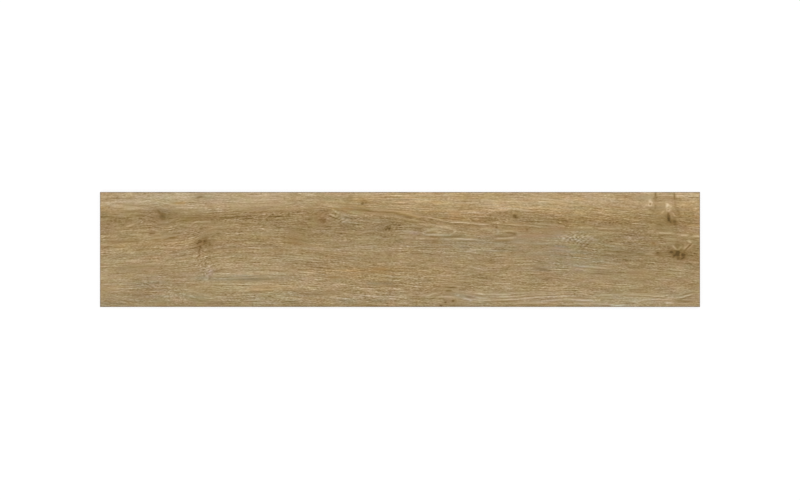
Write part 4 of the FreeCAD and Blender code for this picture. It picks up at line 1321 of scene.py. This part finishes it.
def beyond_quiet(tree, values):
    """What values have beyond the quiet band about zero: themselves, less the same held in the band."""
    held = maths(tree, "MAXIMUM", maths(tree, "MINIMUM", values, QUIET), -QUIET)
    return maths(tree, "SUBTRACT", values, held)


def fine_grain(tree, grain, contrast):
    """Levels of the grain: even lines and sparse ones, times a patchy contrast, plus broad streaks."""
    patches = noise_about_zero(tree, grain, *PATCHES)
    strength = maths(tree, "MULTIPLY", maths(tree, "MULTIPLY_ADD", patches, PATCH_SHARE, 1.0), contrast)
    levels = 0.0
    for (length, width, amount), curl in ((PORES, 0.0), (SHORT_LINES, CURL), (FIBRE_LINES, 0.0)):
        even = noise_about_zero(tree, grain, length, width, detail=0.0, curl=curl)
        levels = maths(tree, "MULTIPLY_ADD", even, amount, levels)
    for (length, width, amount), curl in ((DASHES, CURL), (LONG_LINES, 0.0)):
        sparse = beyond_quiet(tree, noise_about_zero(tree, grain, length, width, detail=0.0, curl=curl))
        levels = maths(tree, "MULTIPLY_ADD", sparse, amount, levels)
    levels = maths(tree, "MULTIPLY", levels, strength)
    return maths(tree, "MULTIPLY_ADD", noise_about_zero(tree, grain, *STREAKS[:2]), STREAKS[2], levels)


def tilted(tree, colour, tilt, amount):
    """A colour times (1 + tilt x amount): red, green and blue gain a share for each level of the amount."""
    shares = add_node(tree, "ShaderNodeVectorMath", {"operation": "SCALE"}, Vector=tilt, Scale=amount)
    gain = add_node(tree, "ShaderNodeVectorMath", {"operation": "ADD"})
    gain.inputs[0].default_value = (1, 1, 1)
    feed(tree, gain.inputs[1], shares.outputs[0])
    return stretched(tree, colour, gain.outputs[0])


def oak_glaze():
    """The print's fields and the fine grain as colour, roughness and small dents of a matt glaze."""
    material, tree, shader = fresh_material("matt_oak_glaze")

    def field(name, output="Fac"):
        return add_node(tree, "ShaderNodeAttribute", {"attribute_name": name}).outputs[output]

    levels = fine_grain(tree, field("grain", "Vector"), field("contrast"))
    colour = oak_colour(tree, maths(tree, "ADD", field("tone"), levels))
    colour = tilted(tree, colour, WARM_TILT, field("warmth"))
    colour = tilted(tree, colour, BLUSH_TILT, field("blush"))
    roughness = maths(tree, "MULTIPLY_ADD", levels, GRAIN_ROUGHNESS, GLAZE_ROUGHNESS, clamp=True)
    bump = add_node(tree, "ShaderNodeBump", Strength=DENT_STRENGTH, Distance=GLAZE_DENT, Height=levels)
    feed(tree, shader.inputs["Base Color"], colour)
    feed(tree, shader.inputs["Roughness"], roughness)
    feed(tree, shader.inputs["Normal"], bump.outputs[0])
    shader.inputs["Specular IOR Level"].default_value = GLAZE_SHEEN
    return material


tile.data.materials.append(oak_glaze())
print("oak glaze with", len(tile.data.materials[0].node_tree.nodes), "nodes")

# %% [markdown]
# ## The fired body
#
# Sides and back are bare porcelain: a speckled, sandy body with level lines from the grinding wheels on the
# sides, and a thin pale wash on the ribs, which keeps the tile from sticking to the kiln rollers.

# %% Bare porcelain on the sides and the back
BODY_COLOURS = ((0.30, (100, 83, 66)), (0.52, (124, 105, 86)), (0.75, (148, 129, 109)))  # places on a ramp
BODY_GRAIN = 1.1 * MM  # size of the body's speckles
WASH_COLOUR = (205, 198, 184)
WASH_CLOUD = 30 * MM  # size of the clouds in which the wash lies thick or thin
WASH_GAIN, WASH_BASE = 2.5, -0.6  # how thick it is for a cloud's noise, from 0 to 1
RIB_TOP = RECESS_DEPTH / 3  # below this height the back is a rib
WHEEL_LINE = (125 * MM, 0.25 * MM)  # length and height of the lines that the grinding wheels leave
BODY_ROUGHNESS, SPECKLE_ROUGHNESS = 0.55, 0.2  # the least, and more for speckles and wheel lines
SPECKLE_DEPTH, SPECKLE_STRENGTH = 0.1 * MM, 0.4  # their depth, and how much of it shows
COLOUR_A, COLOUR_B, COLOUR_MIX = 6, 7, 2  # sockets of a Mix node that mixes colours


def porcelain_body():
    """Speckles in three browns, wheel lines in the roughness, and a cloudy wash at the height of the ribs."""
    material, tree, shader = fresh_material("fired_porcelain_body")
    place = add_node(tree, "ShaderNodeTexCoord").outputs["Object"]
    speckles = noise(tree, place, 1 / BODY_GRAIN, Detail=4.0, Roughness=0.65)
    clouds = noise(tree, place, 1 / WASH_CLOUD, Detail=5.0, Roughness=0.6)
    line_length, line_height = WHEEL_LINE
    lines = stretched(tree, place, (1 / line_length, 1 / line_length, 1 / line_height))
    wheel = noise(tree, lines, 1.0, Detail=3.0)
    height = add_node(tree, "ShaderNodeSeparateXYZ", Vector=place).outputs["Z"]
    thickness = maths(tree, "MULTIPLY_ADD", clouds, WASH_GAIN, WASH_BASE, clamp=True)
    wash = maths(tree, "MULTIPLY", maths(tree, "LESS_THAN", height, RIB_TOP), thickness)
    colour = add_node(tree, "ShaderNodeMix", {"data_type": "RGBA"}, Factor=wash)
    feed(tree, colour.inputs[COLOUR_A], colour_ramp(tree, speckles, BODY_COLOURS))
    feed(tree, colour.inputs[COLOUR_B], srgb(*WASH_COLOUR))
    rough = maths(tree, "ADD", speckles, wheel)
    roughness = maths(tree, "MULTIPLY_ADD", rough, SPECKLE_ROUGHNESS, BODY_ROUGHNESS, clamp=True)
    bump = add_node(tree, "ShaderNodeBump", Strength=SPECKLE_STRENGTH, Distance=SPECKLE_DEPTH, Height=rough)
    feed(tree, shader.inputs["Base Color"], colour.outputs[COLOUR_MIX])
    feed(tree, shader.inputs["Roughness"], roughness)
    feed(tree, shader.inputs["Normal"], bump.outputs[0])
    return material


tile.data.materials.append(porcelain_body())
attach(tile, "root")
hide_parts(NODE)
print("body material and frame ties set")

# %% [markdown]
# ## Stage, light and camera
#
# The photo is a flat view on white with no shadow to speak of. A pale floor, lifted to white where the
# camera sees it, keeps a faint shadow. A soft sky and two large lamps light the face so evenly that a
# colour comes out as it is written. The camera looks straight down without perspective, at the photo's
# scale.

# %% Floor and sky
FLOOR_SIZE = 8.0  # metres
FLOOR_COLOUR = (0.22, 0.22, 0.22, 1.0)
FLOOR_LIFT = 0.83  # light added for rays that show the floor itself
SKY_LEVEL = 0.52  # of the sky as a light on the object


def shows_background(tree):
    """1 for camera, glossy and transmission rays, and 0 for the rest."""
    path = add_node(tree, "ShaderNodeLightPath").outputs
    seen = maths(tree, "ADD", path["Is Camera Ray"], path["Is Glossy Ray"])
    return maths(tree, "ADD", seen, path["Is Transmission Ray"], clamp=True)


def pale_floor():
    """A square round the origin: a matt shader, plus light for the rays that show the background."""
    corners = np.array([(-1, -1, 0), (1, -1, 0), (1, 1, 0), (-1, 1, 0)]) * FLOOR_SIZE / 2
    mesh = bpy.data.meshes.new("floor")
    mesh.from_pydata(corners.tolist(), [], [(0, 1, 2, 3)])
    material = bpy.data.materials.new("pale_floor")
    tree = empty_tree(material)
    matt = add_node(tree, "ShaderNodeBsdfDiffuse", Color=FLOOR_COLOUR)
    strength = maths(tree, "MULTIPLY", shows_background(tree), FLOOR_LIFT)
    lift = add_node(tree, "ShaderNodeEmission", Strength=strength)
    both = add_node(tree, "ShaderNodeAddShader")
    for socket, part in zip(both.inputs, (matt, lift)):
        feed(tree, socket, part.outputs[0])
    add_node(tree, "ShaderNodeOutputMaterial", Surface=both.outputs[0])
    mesh.materials.append(material)
    floor = bpy.data.objects.new("floor", mesh)
    bpy.context.scene.collection.objects.link(floor)
    return floor


def soft_sky():
    """A white world: full white for the rays that show the background, and the sky's level as a light."""
    world = bpy.data.worlds.new("soft_sky")
    tree = empty_tree(world)
    level = maths(tree, "MULTIPLY_ADD", shows_background(tree), 1 - SKY_LEVEL, SKY_LEVEL)
    sky = add_node(tree, "ShaderNodeBackground", Color=(1, 1, 1, 1), Strength=level)
    add_node(tree, "ShaderNodeOutputWorld", Surface=sky.outputs[0])
    bpy.context.scene.world = world


pale_floor()
soft_sky()
print("floor and sky")

# %% Lamps and camera
LAMP_SIZE = 1.8  # metres
LAMP_POWER = 48.0  # watts each
LAMP_PLACES = ((-2.0, -1.6, 2.4), (2.0, 1.6, 2.4))  # metres
CAMERA_HEIGHT = 2.5  # metres
PHOTO_WIDTH, PHOTO_HEIGHT = 800, 500  # pixels


def soft_lamp(number, place):
    """A square lamp at this place, turned to the middle of the tile."""
    light = bpy.data.lights.new(f"soft_lamp_{number}", "AREA")
    light.size = LAMP_SIZE
    light.energy = LAMP_POWER
    lamp = bpy.data.objects.new(light.name, light)
    lamp.location = place
    lamp.rotation_euler = (-lamp.location).to_track_quat("-Z", "Y").to_euler()
    bpy.context.scene.collection.objects.link(lamp)


def photo_camera():
    """A camera without perspective over the middle of the photo, as wide as the photo."""
    lens = bpy.data.cameras.new("photo_camera")
    lens.type = "ORTHO"
    lens.ortho_scale = PHOTO_WIDTH * PIXEL
    camera = bpy.data.objects.new("photo_camera", lens)
    middle_x, middle_y = from_photo(PHOTO_WIDTH / 2, PHOTO_HEIGHT / 2)
    camera.location = (float(middle_x), float(middle_y), CAMERA_HEIGHT)
    bpy.context.scene.collection.objects.link(camera)
    bpy.context.scene.camera = camera


for number, place in enumerate(LAMP_PLACES):
    soft_lamp(number, place)
photo_camera()
bpy.context.scene.view_settings.view_transform = "Standard"
print("lamps and camera")
